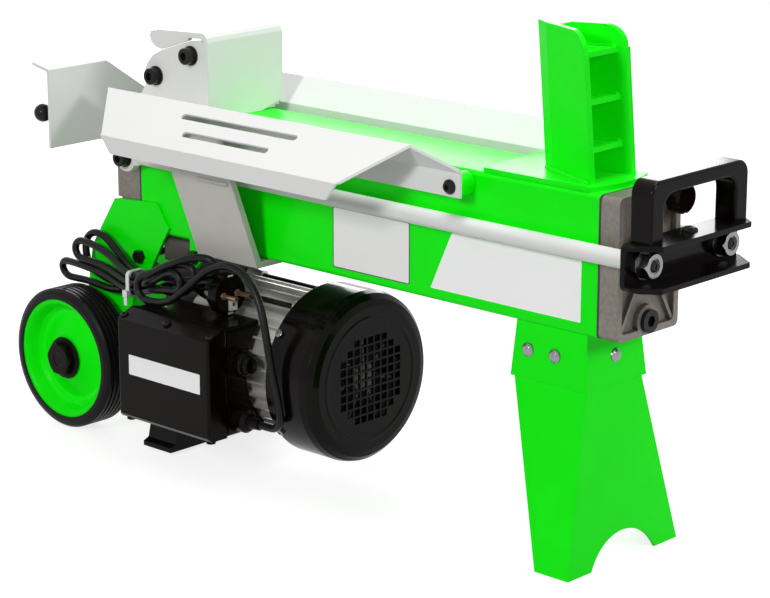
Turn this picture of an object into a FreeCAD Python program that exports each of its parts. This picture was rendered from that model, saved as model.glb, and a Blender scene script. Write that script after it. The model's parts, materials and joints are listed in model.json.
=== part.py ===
import FreeCAD, Part
import math
import os

V = FreeCAD.Vector

# Horizontal log splitter, millimetres.
# +X runs along the beam from the pusher to the wedge, +Z is up, the floor is z = 0.
# The origin is on the floor under the middle of the machine without its cord.
# "near" is the -Y side (control box, lever knob), "far" is the +Y side.

# ---------------------------------------------------------------- driving sizes
# beam, which is also the oil tank
beam_length = 612.0
beam_width = 90.0
beam_height = 133.5
beam_wall = 4.0
beam_corner = 5.0
beam_bottom = 223.0
gasket_thickness = 2.5
gasket_land = 9.0
front_cap_depth = 21.0
rear_cap_depth = 29.0
cap_corner = 6.0

# hydraulic cylinder inside the beam
axis_above_beam_bottom = 83.0
cylinder_outer_radius = 33.0
cylinder_bore_radius = 28.0
piston_clearance = 0.08
seal_clearance = 0.03
piston_length = 26.0
piston_rest_gap = 6.0
piston_rod_radius = 14.0
bush_wall = 4.0
running_clearance = 0.05
stroke = 350.0

# crosshead and handle
crosshead_gap = 31.0
crosshead_depth = 33.0
crosshead_height = 43.0
crosshead_sheet = 5.0
crosshead_half_width = 83.0
crosshead_front_half_width = 65.0
handle_half_width = 71.0
handle_height = 56.0
handle_leg = 18.0
handle_bar = 13.0
handle_depth = 24.0

# pull rods
pull_rod_radius = 8.5
pull_rod_offset = 57.0
thread_radius = 7.0
nut_across_flats = 22.0
nut_height = 11.0
washer_radius = 14.0
washer_thickness = 2.5
eye_thickness = 8.0
eye_radius = 15.0

# pusher
log_opening = 399.0
pusher_half_width = 53.0
pusher_sheet = 5.0
pusher_face_height = 87.0
pusher_length = 94.0
slide_clearance = 0.3
pusher_flap = 80.0
pusher_flap_drop = 3.0
pusher_flap_corner = 8.0
flap_edge_drop = 18.0
flap_gap = 1.0
arm_bolt_setback = 120.0
pusher_bolt_radius = 5.0

# wedge
wedge_setback = 123.0
wedge_height = 136.0
wedge_length = 80.0
wedge_half_width = 33.0
wedge_sheet = 6.0
wedge_lean = 5.0
wedge_base_length = 122.0
wedge_base_thickness = 4.5
wedge_rib_thickness = 5.0

# side tables
table_sheet = 2.5
table_flange_y = 66.0
table_flange_height = 24.0
table_flange_top = 358.0
crest_y = 92.0
crest_z = 381.5
lip_y = 140.0
lip_z = 346.0
lip_height = 19.0
table_front_setback = 169.0
table_length = 471.0
crest_front_trim = 40.0
crest_rear_trim = 10.0
lip_front_trim = 88.0
lip_rear_trim = 53.0
slot_width = 7.0
boss_radius = 12.0

# strap under the beam that carries both tables
strap_width = 87.0
strap_setback = 446.0
strap_sheet = 6.0
strap_foot_gap = 10.0
strap_top_y = 110.0

# leg at the wedge end
leg_sheet = 2.5
socket_sheet = 3.0
socket_height = 54.0
socket_setback = 33.5
socket_length = 91.5
socket_half = 44.0
socket_lean = 5.0
leg_foot_length = 40.0
leg_foot_setback = 21.0
leg_foot_half_width = 82.0
leg_arch_radius = 54.0
leg_arch_depth = 28.5

# wheels
wheel_radius = 76.5
rim_radius = 65.0
tyre_width = 40.0
wheel_offset = 77.0
axle_radius = 6.0
axle_overhang = 47.0
hub_cap_radius = 23.0
hub_cap_hexagon = 33.0
tread_grooves = 5

# motor and pump, on one axis under the beam
motor_axis_z = 109.0
fan_cover_radius = 88.5
fan_cover_length = 61.0
fan_cover_sheet = 2.5
fan_cover_round = 14.0
grille_ring_radius = 61.0
grille_field_radius = 46.5
grille_pitch_y = 9.9
grille_pitch_z = 9.0
grille_rib = 2.0
grille_columns = 9
grille_rows = 10
fan_cover_setback = 346.5
stator_radius = 67.0
fin_height = 7.0
fin_count = 30
stator_length = 112.0
end_bell_length = 22.0
shaft_radius = 8.0
rotor_radius = 36.0
air_gap = 0.5
fan_blades = 7
pump_length = 48.0
pump_cover_length = 12.0
gear_module = 2.5
gear_teeth = 10
gear_width = 16.0

# control box on the near side of the motor
box_length = 136.0
box_front_setback = 450.0
box_bottom = 47.0
box_top = 161.0
box_near_y = 127.0
box_split_y = 100.0
box_back_y = 50.0
box_wall = 3.0
button_travel = 3.0

# control lever and its guard
guard_sheet = 3.0
guard_reach = 139.5
guard_rise = 48.5
guard_hem = 26.5
guard_flap = 26.0
lever_angle_y = 12.0
lever_height = 354.0
valve_drop = 35.5
spool_y = -20.0
spool_radius = 4.0
knob_radius = 9.5

# ---------------------------------------------------------------- derived places
beam_top = beam_bottom + beam_height
axis_z = beam_bottom + axis_above_beam_bottom
machine_depth = (front_cap_depth + rear_cap_depth + 2 * gasket_thickness + beam_length)
rear_reach = machine_depth + axle_overhang + wheel_radius
front_reach = crosshead_gap + crosshead_depth
cap_face = (rear_reach - front_reach) / 2
beam_front = cap_face - front_cap_depth - gasket_thickness
beam_rear = beam_front - beam_length
rear_cap_front = beam_rear - gasket_thickness
rear_face = rear_cap_front - rear_cap_depth
axle_x = rear_face - axle_overhang
web_x = cap_face + crosshead_gap
half_beam = beam_width / 2
wedge_nose_x = cap_face - wedge_setback
pusher_x = wedge_nose_x - log_opening


# ---------------------------------------------------------------- helpers
def box(x0, x1, y0, y1, z0, z1):
    return Part.makeBox(x1 - x0, y1 - y0, z1 - z0, V(x0, y0, z0))


def rod_x(r, x0, x1, y=0.0, z=0.0):
    return Part.makeCylinder(r, x1 - x0, V(x0, y, z), V(1, 0, 0))


def rod_y(r, y0, y1, x, z):
    return Part.makeCylinder(r, y1 - y0, V(x, y0, z), V(0, 1, 0))


def rod_z(r, z0, z1, x, y):
    return Part.makeCylinder(r, z1 - z0, V(x, y, z0), V(0, 0, 1))


def prism(points, direction):
    wire = Part.makePolygon([V(*p) for p in points] + [V(*points[0])])
    return Part.Face(wire).extrude(direction)


def side_plate(points, y0, y1):
    """Plate in the XZ plane between two values of y."""
    return prism([(x, y0, z) for x, z in points], V(0, y1 - y0, 0))


def cross_plate(points, x0, x1):
    """Plate in the YZ plane between two values of x."""
    return prism([(x0, y, z) for y, z in points], V(x1 - x0, 0, 0))


def floor_plate(points, z0, z1):
    """Plate in the XY plane between two values of z."""
    return prism([(x, y, z0) for x, y in points], V(0, 0, z1 - z0))


def turned(profile, x, y, z, axis):
    """Solid of revolution from (along, radius) points about an axis through (x, y, z)."""
    if axis == "x":
        points = [V(x + a, y, z + r) for a, r in profile]
        direction = V(1, 0, 0)
    elif axis == "y":
        points = [V(x, y + a, z + r) for a, r in profile]
        direction = V(0, 1, 0)
    else:
        points = [V(x + r, y, z + a) for a, r in profile]
        direction = V(0, 0, 1)
    wire = Part.makePolygon(points + [points[0]])
    return Part.Face(wire).revolve(V(x, y, z), direction, 360)


def edges_along(shape, axis, keep=lambda e: True):
    found = []
    for e in shape.Edges:
        if len(e.Vertexes) != 2:
            continue
        d = e.Vertexes[1].Point - e.Vertexes[0].Point
        if d.Length > 1e-6 and abs(abs(d.normalize().dot(axis)) - 1) < 1e-6 and keep(e):
            found.append(e)
    return found


def rounded(shape, radius, axis, keep=lambda e: True):
    return shape.makeFillet(radius, edges_along(shape, axis, keep))


def hexagon_x(across, x0, x1, y, z):
    r = across / math.sqrt(3)
    points = [(y + r * math.cos(math.radians(a)), z + r * math.sin(math.radians(a)))
              for a in range(0, 360, 60)]
    return cross_plate(points, x0, x1)


def hexagon_y(across, y0, y1, x, z):
    r = across / math.sqrt(3)
    points = [(x + r * math.cos(math.radians(a)), z + r * math.sin(math.radians(a)))
              for a in range(0, 360, 60)]
    return side_plate(points, y0, y1)


def hexagon_z(across, z0, z1, x, y):
    r = across / math.sqrt(3)
    points = [(x + r * math.cos(math.radians(a)), y + r * math.sin(math.radians(a)))
              for a in range(0, 360, 60)]
    return floor_plate(points, z0, z1)


def far(shape):
    """Mirror image on the far side of the machine."""
    return shape.mirror(V(0, 0, 0), V(0, 1, 0))


def both_sides(shapes):
    return list(shapes) + [far(s) for s in shapes]


def fused(shapes):
    first, rest = shapes[0], shapes[1:]
    return first.fuse(rest).removeSplitter() if rest else first


def save(name, shapes):
    """Write one node; a list becomes a group of separate solids."""
    if not isinstance(shapes, list):
        shapes = [shapes]
    solids = [s for shape in shapes for s in shape.Solids]
    bad = [s for s in solids if not s.isValid()]
    print(name, len(solids), "solids", "INVALID" if bad or not solids else "ok")
    node = solids[0] if len(solids) == 1 else Part.makeCompound(solids)
    node.exportStep(os.path.join("parts", name + ".step"))


os.makedirs("parts", exist_ok=True)

# ---------------------------------------------------------------- beam and caps
X, Y, Z = V(1, 0, 0), V(0, 1, 0), V(0, 0, 1)
inner_half = half_beam - beam_wall
inner_bottom = beam_bottom + beam_wall
inner_top = beam_top - beam_wall
tie_y = half_beam - 9.0
tie_low = beam_bottom + 9.0
tie_head = 5.5
tie_high = beam_top - 9.0
tie_radius = 4.0
tie_places = [(s * tie_y, z) for s in (-1, 1) for z in (tie_low, tie_high)]
spigot_length = 4.0
spigot_clearance = 0.2
register_length = 8.0


def beam():
    outer = rounded(box(beam_rear, beam_front, -half_beam, half_beam, beam_bottom, beam_top),
                    beam_corner, X)
    inner = box(beam_rear, beam_front, -inner_half, inner_half, inner_bottom, inner_top)
    return outer.cut(inner)


def gasket(x0):
    x1 = x0 + gasket_thickness
    plate = rounded(box(x0, x1, -half_beam, half_beam, beam_bottom, beam_top), beam_corner, X)
    window = box(x0, x1, -inner_half, inner_half, inner_bottom, inner_top)
    return plate.cut(window)


def cap_blank(x0, x1, inward):
    """Casting with a spigot in the beam and a round register in the cylinder tube."""
    body = rounded(box(x0, x1, -half_beam, half_beam, beam_bottom, beam_top), cap_corner, X)
    c = spigot_clearance
    seat = x0 if inward < 0 else x1
    reach = gasket_thickness + spigot_length
    a, b = sorted((seat, seat + inward * reach))
    spigot = box(a, b, c - inner_half, inner_half - c, inner_bottom + c, inner_top - c)
    a, b = sorted((seat, seat + inward * (reach + register_length)))
    register = rod_x(cylinder_bore_radius - running_clearance, a, b, 0, axis_z)
    return fused([body, spigot, register])


plug_z = beam_bottom + 13.0
plug_radius = 11.0
bleed_y = 30.0
bleed_z = beam_top - 9.0
bleed_shank = 5.0
bleed_depth = 10.0
bush_radius = piston_rod_radius + bush_wall
front_pocket = 6.0
cap_rim = 6.5


def front_cap():
    x0 = cap_face - front_cap_depth
    cap = cap_blank(x0, cap_face, -1)
    bottom = cap_face - front_pocket
    pocket = rounded(box(bottom, cap_face, cap_rim - half_beam, half_beam - cap_rim,
                         beam_bottom + cap_rim, beam_top - cap_rim), 5.0, X)
    gland = rod_x(bush_radius + 8.0, bottom, cap_face, 0, axis_z)
    plug_boss = rod_x(plug_radius + 4.0, bottom, cap_face, 0, plug_z)
    bleed_boss = rod_x(bleed_shank + 6.0, bottom, cap_face, bleed_y, bleed_z)
    rib = 3.5
    foot_y = half_beam - cap_rim
    foot_z = beam_bottom + cap_rim
    ribs = []
    for s in (-1, 1):
        ribs.append(cross_plate([(s * 4, axis_z - 20), (s * (4 + rib), axis_z - 20),
                                 (s * foot_y, foot_z + rib), (s * foot_y, foot_z - rib)],
                                bottom, cap_face - 1.5))
        ribs.append(box(bottom, cap_face - 1.5, min(0, s * foot_y), max(0, s * foot_y),
                        axis_z - rib / 2, axis_z + rib / 2))
    inside = fused([gland, plug_boss, bleed_boss] + ribs)
    cap = cap.cut(pocket.cut(inside))
    reach = gasket_thickness + spigot_length + register_length
    cap = cap.cut(rod_x(bush_radius, x0 - reach, cap_face, 0, axis_z))
    cap = cap.cut(rod_x(plug_radius - 3.0, x0, cap_face, 0, plug_z))
    bleed_bore = bleed_shank + running_clearance
    cap = cap.cut(rod_x(bleed_bore, cap_face - bleed_depth - 1.0, cap_face, bleed_y, bleed_z))
    for y, z in tie_places:
        cap = cap.cut(rod_x(tie_radius, x0 - reach, bottom - 4.0, y, z))
    return cap


def rear_cap():
    cap = cap_blank(rear_face, rear_cap_front, 1)
    reach = gasket_thickness + spigot_length + register_length
    for y, z in tie_places:
        cap = cap.cut(rod_x(tie_radius + 0.2, rear_face, rear_cap_front + reach, y, z))
    return cap


def tie_bolts():
    """Long bolts that clamp both caps on the beam; the upper heads also hold the lever guard."""
    bolts = []
    tip = cap_face - front_pocket - 5.0
    for y, z in tie_places:
        seat = rear_face - (guard_sheet if z == tie_high else 0)
        shank = rod_x(tie_radius, seat, tip, y, z)
        bolts.append(fused([shank, hexagon_x(13.0, seat - tie_head, seat, y, z)]))
    return bolts


cylinder_rear = rear_cap_front + gasket_thickness + spigot_length
cylinder_front = cap_face - front_cap_depth - gasket_thickness - spigot_length
save("end_gaskets", [gasket(beam_front), gasket(rear_cap_front)])
save("front_end_cap", front_cap())

save("tie_bolts", tie_bolts())
tube = rod_x(cylinder_outer_radius, cylinder_rear, cylinder_front, 0, axis_z)
save("cylinder_tube", tube.cut(rod_x(cylinder_bore_radius, cylinder_rear, cylinder_front, 0, axis_z)))

wiper_length = 4.0
bush_rear = cylinder_front - register_length
bush = rod_x(bush_radius, bush_rear, cap_face - wiper_length, 0, axis_z)
bore = rod_x(piston_rod_radius + running_clearance, bush_rear, cap_face + 3, 0, axis_z)
wiper = turned([(0, 0), (0, bush_radius), (wiper_length, bush_radius),
                (wiper_length + 2.0, piston_rod_radius + 1.5), (wiper_length + 2.0, 0)],
               cap_face - wiper_length, 0, axis_z, "x")
save("rod_guide", [bush.cut(bore), wiper.cut(bore)])

plug_head = rod_x(plug_radius, cap_face, cap_face + 4.0, 0, plug_z)
plug_socket = hexagon_x(10.0, cap_face, cap_face + 4.0, 0, plug_z)
plug_shank = rod_x(plug_radius - 3.0, cap_face - 12.0, cap_face, 0, plug_z)
save("oil_plug", fused([plug_head.cut(plug_socket), plug_shank]))

# ---------------------------------------------------------------- piston and piston rod
piston_rear = cylinder_rear + register_length + piston_rest_gap
seal_groove = 4.0
seal_depth = 3.0
shoulder_radius = 10.0
rod_tip = web_x + crosshead_sheet - 1.5


def piston():
    r = cylinder_bore_radius - piston_clearance
    body = rod_x(r, piston_rear, piston_rear + piston_length, 0, axis_z)
    middle = piston_rear + piston_length / 2
    a, b = middle - seal_groove, middle + seal_groove
    groove = rod_x(r, a, b, 0, axis_z).cut(rod_x(r - seal_depth, a, b, 0, axis_z))
    seat = rod_x(shoulder_radius, piston_rear, piston_rear + piston_length, 0, axis_z)
    return body.cut(groove).cut(seat)


def piston_seal():
    middle = piston_rear + piston_length / 2
    a, b = middle - seal_groove, middle + seal_groove
    outer = rod_x(cylinder_bore_radius - seal_clearance, a, b, 0, axis_z)
    return outer.cut(rod_x(cylinder_bore_radius - piston_clearance - seal_depth, a, b, 0, axis_z))


def piston_rod():
    spigot = rod_x(shoulder_radius, piston_rear, piston_rear + piston_length, 0, axis_z)
    shaft = rod_x(piston_rod_radius, piston_rear + piston_length, web_x, 0, axis_z)
    nose = rod_x(shoulder_radius, web_x, rod_tip, 0, axis_z)
    return fused([spigot, shaft, nose])


save("piston", piston())
save("piston_seal", piston_seal())
save("piston_rod", piston_rod())

# ---------------------------------------------------------------- crosshead, handle, pull rods
channel_top = axis_z + crosshead_height / 2
channel_bottom = axis_z - crosshead_height / 2
channel_front = web_x + crosshead_depth
handle_x = web_x
flange_screw = 4.0
flange_screw_x = web_x + 12.5
pull_places = [(s * pull_rod_offset, axis_z) for s in (-1, 1)]


def crosshead():
    """Channel with rounded web corners; the piston rod is welded in a blind seat behind the web."""
    t = crosshead_sheet
    section = side_plate([(web_x, channel_bottom), (channel_front, channel_bottom),
                          (channel_front, channel_bottom + t), (web_x + t, channel_bottom + t),
                          (web_x + t, channel_top - t), (channel_front, channel_top - t),
                          (channel_front, channel_top), (web_x, channel_top)],
                         -crosshead_half_width, crosshead_half_width)
    w, f = crosshead_half_width, crosshead_front_half_width
    plan = floor_plate([(web_x, -w), (web_x + 8, -w), (channel_front, -f), (channel_front, f),
                        (web_x + 8, w), (web_x, w)], channel_bottom, channel_top)
    body = section.common(plan)
    body = body.common(rounded(box(web_x, channel_front, -w, w, channel_bottom, channel_top), 7.0, X))
    body = body.cut(rod_x(shoulder_radius + running_clearance, web_x, rod_tip, 0, axis_z))
    for y, z in pull_places:
        body = body.cut(rod_x(thread_radius + running_clearance, web_x, web_x + t, y, z))
    return body.cut(rod_z(flange_screw + running_clearance, channel_top - t, channel_top, flange_screw_x, 0))


def handle():
    """Bow handle on the upper flange: two legs and a bar with a finger gap."""
    h, w = handle_height, handle_half_width
    x0, x1 = handle_x, handle_x + handle_depth
    outer = rounded(box(x0, x1, -w, w, channel_top, channel_top + h), 13.0, X,
                    lambda e: e.CenterOfMass.z > channel_top + 1)
    gap = rounded(box(x0, x1, handle_leg - w, w - handle_leg, channel_top, channel_top + h - handle_bar),
                  15.0, X, lambda e: e.CenterOfMass.z > channel_top + 1)
    bow = outer.cut(gap)
    return bow.makeFillet(2.5, [e for e in bow.Edges if e.CenterOfMass.z > channel_top + 1
                                and abs(e.CenterOfMass.x - (x0 + x1) / 2) > handle_depth / 2 - 0.01])


def top_screw():
    """Low round head in the middle of the upper flange."""
    profile = [(-crosshead_sheet, 0), (-crosshead_sheet, flange_screw), (0, flange_screw),
               (0, 7.5), (1.6, 7.2), (3.2, 5.0), (3.2, 0)]
    head = turned(profile, flange_screw_x, 0, channel_top, "z")
    return head.cut(hexagon_z(4.0, channel_top + 1.2, channel_top + 3.2, flange_screw_x, 0))


def handle_screws():
    """Low round heads under the upper flange, one below each handle leg."""
    y = handle_half_width - handle_leg / 2
    seat = channel_top - crosshead_sheet
    return both_sides([rod_z(6.0, seat - 2.2, seat, handle_x + handle_depth / 2, y)])


seat_y = pusher_half_width
arm_x = pusher_x - arm_bolt_setback
arm_z = axis_z - 3.0


def pull_rod(s):
    """Rod with a threaded front end and a flat eye on the outer face of the pusher arm."""
    y, z = s * pull_rod_offset, axis_z
    rod_rear = arm_x + eye_radius + 6.0
    shaft = rod_x(pull_rod_radius, rod_rear, web_x, y, z)
    thread = rod_x(thread_radius, web_x, web_x + crosshead_sheet + washer_thickness + nut_height - 2.0, y, z)
    y0, y1 = sorted((s * seat_y, s * (seat_y + eye_thickness)))
    flat = side_plate([(arm_x, arm_z - 10), (rod_rear, z - pull_rod_radius), (rod_rear + 14.0, z - 6.0),
                       (rod_rear + 14.0, z + 6.0), (rod_rear, z + pull_rod_radius), (arm_x, arm_z + 10)],
                      y0, y1)
    eye = rod_y(eye_radius, y0, y1, arm_x, arm_z)
    hole = rod_y(pusher_bolt_radius + running_clearance, y0, y1, arm_x, arm_z)
    return fused([shaft, thread, flat, eye]).cut(hole)


def rod_washer(y, z):
    a = web_x + crosshead_sheet
    ring = rod_x(washer_radius, a, a + washer_thickness, y, z)
    return ring.cut(rod_x(thread_radius + running_clearance, a, a + washer_thickness, y, z))


def rod_nut(y, z):
    a = web_x + crosshead_sheet + washer_thickness
    body = hexagon_x(nut_across_flats, a, a + nut_height, y, z)
    cone = turned([(0, 0), (0, 15), (nut_height - 2.2, nut_across_flats / 2 + 2.2),
                   (nut_height, nut_across_flats / 2), (nut_height, 0)], a, y, z, "x")
    return body.common(cone).cut(rod_x(thread_radius + running_clearance, a, a + nut_height, y, z))


save("crosshead", crosshead())
save("carry_handle", handle())
save("crosshead_fasteners", [top_screw()] + handle_screws())
save("pull_rods", [pull_rod(-1), pull_rod(1)])
save("rod_nuts", [rod_washer(y, z) for y, z in pull_places] + [rod_nut(y, z) for y, z in pull_places])

# ---------------------------------------------------------------- pusher
slide_z = beam_top + slide_clearance
face_top = beam_top + 2.0 + pusher_face_height
face_sheet = 6.0
shoe_height = 5.0
bend_radius = 9.0
side_front = pusher_x - face_sheet
side_bolts = [(pusher_x - 24.0, face_top - 24.5), (pusher_x - 77.0, face_top - 51.5)]


flap_edge_front = pusher_x - 28.0
flap_edge_rear = pusher_x - 68.5
lip_points = [(7.0, 1.0), (12.5, 3.5), (16.0, 7.0), (17.3, 12.5), (15.5, 17.0)]


def edge_line(x):
    """Height of the lower edge of the flap's side strip."""
    start = face_top - 2.5 - (flap_edge_front - x) * math.tan(math.radians(flap_edge_drop))
    return start - (pusher_x - 5.8 - flap_edge_front) * math.tan(math.radians(flap_edge_drop))


def pusher_face():
    """Plate that meets the log, bent back over the side plates at its top."""
    x, t, w = pusher_x, face_sheet, pusher_half_width
    drop = math.tan(math.radians(pusher_flap_drop))
    rear = x - pusher_flap
    z_rear = face_top - (pusher_flap - bend_radius) * drop
    section = [(x, slide_z), (x, face_top - bend_radius)]
    for a in (30, 60, 90 - pusher_flap_drop):
        section.append((x - bend_radius + bend_radius * math.cos(math.radians(a)),
                        face_top - bend_radius + bend_radius * math.sin(math.radians(a))))
    section += [(rear, z_rear), (rear, z_rear - t), (x - bend_radius, face_top - t),
                (x - t, face_top - bend_radius), (x - t, slide_z)]
    plate = side_plate(section, -w, w)
    for s in (-1, 1):
        cut = cross_plate([(s * w, slide_z), (s * w, slide_z + 9.0), (s * (w - 30.0), slide_z)],
                          x - t, x)
        plate = plate.cut(cut)
        r = pusher_flap_corner
        a, b = sorted((s * w, s * (w - r)))
        corner = box(rear, rear + r, a, b, slide_z, face_top)
        disc = rod_z(r, slide_z, face_top, rear + r, s * (w - r))
        plate = plate.cut(corner.cut(disc))
    return fused([plate, flap_lip()] + both_sides([flap_rim()]))


def flap_rim():
    """Side of the cap under the flap, over the top of the side plate, with a rounded rear corner."""
    low = edge_line(flap_edge_rear)
    rear = pusher_x - pusher_flap
    outline = [(flap_edge_front, edge_line(flap_edge_front)), (flap_edge_rear, low)]
    outline += [(flap_edge_rear - a, low + h) for a, h in lip_points]
    outline += [(rear + 1.0, face_top - 5.0), (flap_edge_front, face_top - 2.0)]
    return side_plate(outline, -pusher_half_width, pusher_sheet - pusher_half_width)


def flap_lip():
    """Rear wall of the cap, curled down from the flap."""
    low = edge_line(flap_edge_rear)
    rear = pusher_x - pusher_flap
    outer = [(flap_edge_rear - a, low + h) for a, h in lip_points[2:]]
    outline = outer + [(rear + 1.0, face_top - 4.8), (rear + 6.0, face_top - 6.0), (rear + 1.5, low + 12.0)]
    return side_plate(outline, -pusher_half_width, pusher_half_width)


def pusher_side(s):
    """Side plate: rides beside the beam and reaches down to the pull rod eye."""
    x = side_front
    top = face_top - face_sheet - flap_gap
    rear = pusher_x - pusher_length
    slope = math.tan(math.radians(flap_edge_drop))
    arm_front = arm_x + eye_radius - 5.0
    arm_rear = arm_x - eye_radius + 2.5
    z_guide = beam_top - 18.0
    rim_front = edge_line(flap_edge_front) - flap_gap
    rim_rear = edge_line(flap_edge_rear) - flap_gap
    outline = [(x, slide_z + 2.0), (x, top - 4.0), (x - 2.5, top - 0.6), (flap_edge_front, rim_front),
               (flap_edge_rear, rim_rear),
               (rear + 12.0, rim_rear - (flap_edge_rear - rear - 12.0) * slope - 2.5),
               (rear + 4.0, rim_rear - 15.0), (rear, rim_rear - 22.0), (rear, beam_top + 26.0),
               (arm_rear, z_guide - 8.0), (arm_rear, arm_z - 7.0), (arm_x - 9.0, arm_z - 10.5),
               (arm_x, arm_z - 12.0), (arm_x + 7.0, arm_z - 10.5), (arm_front, arm_z - 7.0),
               (arm_front, axis_z + pull_rod_radius + 8.0), (rear + 12.0, z_guide), (x - 42.0, z_guide),
               (x - 36.0, slide_z + 2.0)]
    y0, y1 = sorted((s * (pusher_half_width - pusher_sheet), s * pusher_half_width))
    plate = side_plate(outline, y0, y1)
    for bx, bz in side_bolts + [(arm_x, arm_z)]:
        plate = plate.cut(rod_y(pusher_bolt_radius + running_clearance, y0, y1, bx, bz))
    return plate


def pusher_shoe():
    """Sliding plate between the side plates, on the beam top."""
    w = pusher_half_width - pusher_sheet
    return box(pusher_x - pusher_length + 4.0, side_front, -w, w, slide_z, slide_z + shoe_height)


def pusher_spacer(x, z):
    w = pusher_half_width - pusher_sheet
    tube = rod_y(9.0, -w, w, x, z)
    return tube.cut(rod_y(pusher_bolt_radius + running_clearance, -w, w, x, z))


def socket_bolt_y(x, z, seat, s, shank_end, washer=10.0):
    """Socket head bolt whose head faces away from the machine on side s."""
    profile_washer = [(0, 0), (0, washer), (2.0, washer), (2.0, 0)]
    head = [(2.0, 0), (2.0, 8.5), (10.0, 8.5), (11.0, 7.5), (11.0, 0)]
    shape = fused([turned(profile_washer, x, seat, z, "y"), turned(head, x, seat, z, "y")])
    shape = shape.cut(hexagon_y(8.0, seat + 6.0, seat + 11.0, x, z))
    shank = rod_y(pusher_bolt_radius, shank_end, seat, x, z)
    shape = fused([shape, shank])
    return shape if s > 0 else far(shape)


def pusher_bolts():
    bolts = []
    for s in (-1, 1):
        for x, z in side_bolts:
            bolts.append(socket_bolt_y(x, z, pusher_half_width, s, 4.0))
        inner = pusher_half_width - pusher_sheet
        bolts.append(socket_bolt_y(arm_x, arm_z, pusher_half_width + eye_thickness, s, inner))
    return bolts


save("pusher_face", pusher_face())
save("pusher_sides", [pusher_side(-1), pusher_side(1)])
save("pusher_shoe", pusher_shoe())
save("pusher_spacers", [pusher_spacer(x, z) for x, z in side_bolts])
save("pusher_bolts", pusher_bolts())

# ---------------------------------------------------------------- wedge
base_top = beam_top + wedge_base_thickness
wedge_back = wedge_nose_x + wedge_length


def wedge_base():
    """Saddle plate on the beam top with a rounded tongue over the end cap."""
    w = half_beam - 2.0
    rear = wedge_back - wedge_base_length
    front = wedge_back + 4.0
    plate = box(rear, front, -w, w, beam_top, base_top)
    plate = rounded(plate, 6.0, Z, lambda e: e.CenterOfMass.x < rear + 1)
    radius = 95.0
    tongue = rod_z(radius, beam_top, base_top, front + 12.0 - radius, 0)
    strip = box(front - 1.0, front + 14.0, -w, w, beam_top, base_top)
    return fused([plate, tongue.common(strip)])


def splitting_wedge():
    """Two plates in a V that opens to +X behind a ground nose; the whole leans to the log."""
    t = wedge_sheet
    bevel_x, bevel_y = 17.0, 9.5
    slope = math.atan2(wedge_half_width - bevel_y, wedge_length - bevel_x)
    step = t / math.cos(slope)
    n = wedge_nose_x
    back_inner = wedge_half_width - step
    apex = bevel_x + (step - bevel_y) / math.tan(slope) + 5.0
    outer = [(n, 0), (n + bevel_x, bevel_y), (wedge_back, wedge_half_width),
             (wedge_back, back_inner),
             (n + apex + 20.0, back_inner - (wedge_length - apex - 20.0) * math.tan(slope)),
             (n + apex + 20.0, 0)]
    half = [(x, y, base_top) for x, y in outer]
    lean = math.tan(math.radians(wedge_lean))
    rise = V(-lean * wedge_height, 0, wedge_height)
    body = prism(half, rise)
    body = body.fuse(far(body)).removeSplitter()
    r = 20.0
    top = base_top + wedge_height
    back = wedge_back - lean * wedge_height
    corner = box(back - r, back + r, -40, 40, top - r, top + 5)
    disc = rod_y(r, -40, 40, back - r, top - r)
    return body.cut(corner.cut(disc))


def wedge_rib(level):
    """Horizontal gusset between the two wedge plates."""
    lean = math.tan(math.radians(wedge_lean))
    shift = -lean * (level - base_top)
    t = wedge_sheet
    bevel_x, bevel_y = 17.0, 9.5
    slope = math.atan2(wedge_half_width - bevel_y, wedge_length - bevel_x)
    step = t / math.cos(slope)
    back = wedge_back - 7.0
    y_back = wedge_half_width - step - 7.0 * math.tan(slope)
    front = wedge_back - 44.0
    y_front = y_back - (back - front) * math.tan(slope)
    points = [(front + shift, y_front), (back + shift, y_back), (back + shift, -y_back),
              (front + shift, -y_front)]
    z0 = level
    lower = [(x, y, z0) for x, y in points]
    return prism(lower, V(-lean * wedge_rib_thickness, 0, wedge_rib_thickness))


save("wedge_base", wedge_base())
save("splitting_wedge", [splitting_wedge()] + [wedge_rib(base_top + h) for h in (25.0, 68.0, 111.0)])

# ---------------------------------------------------------------- side tables
table_front = cap_face - table_front_setback
table_rear = table_front - table_length


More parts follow.
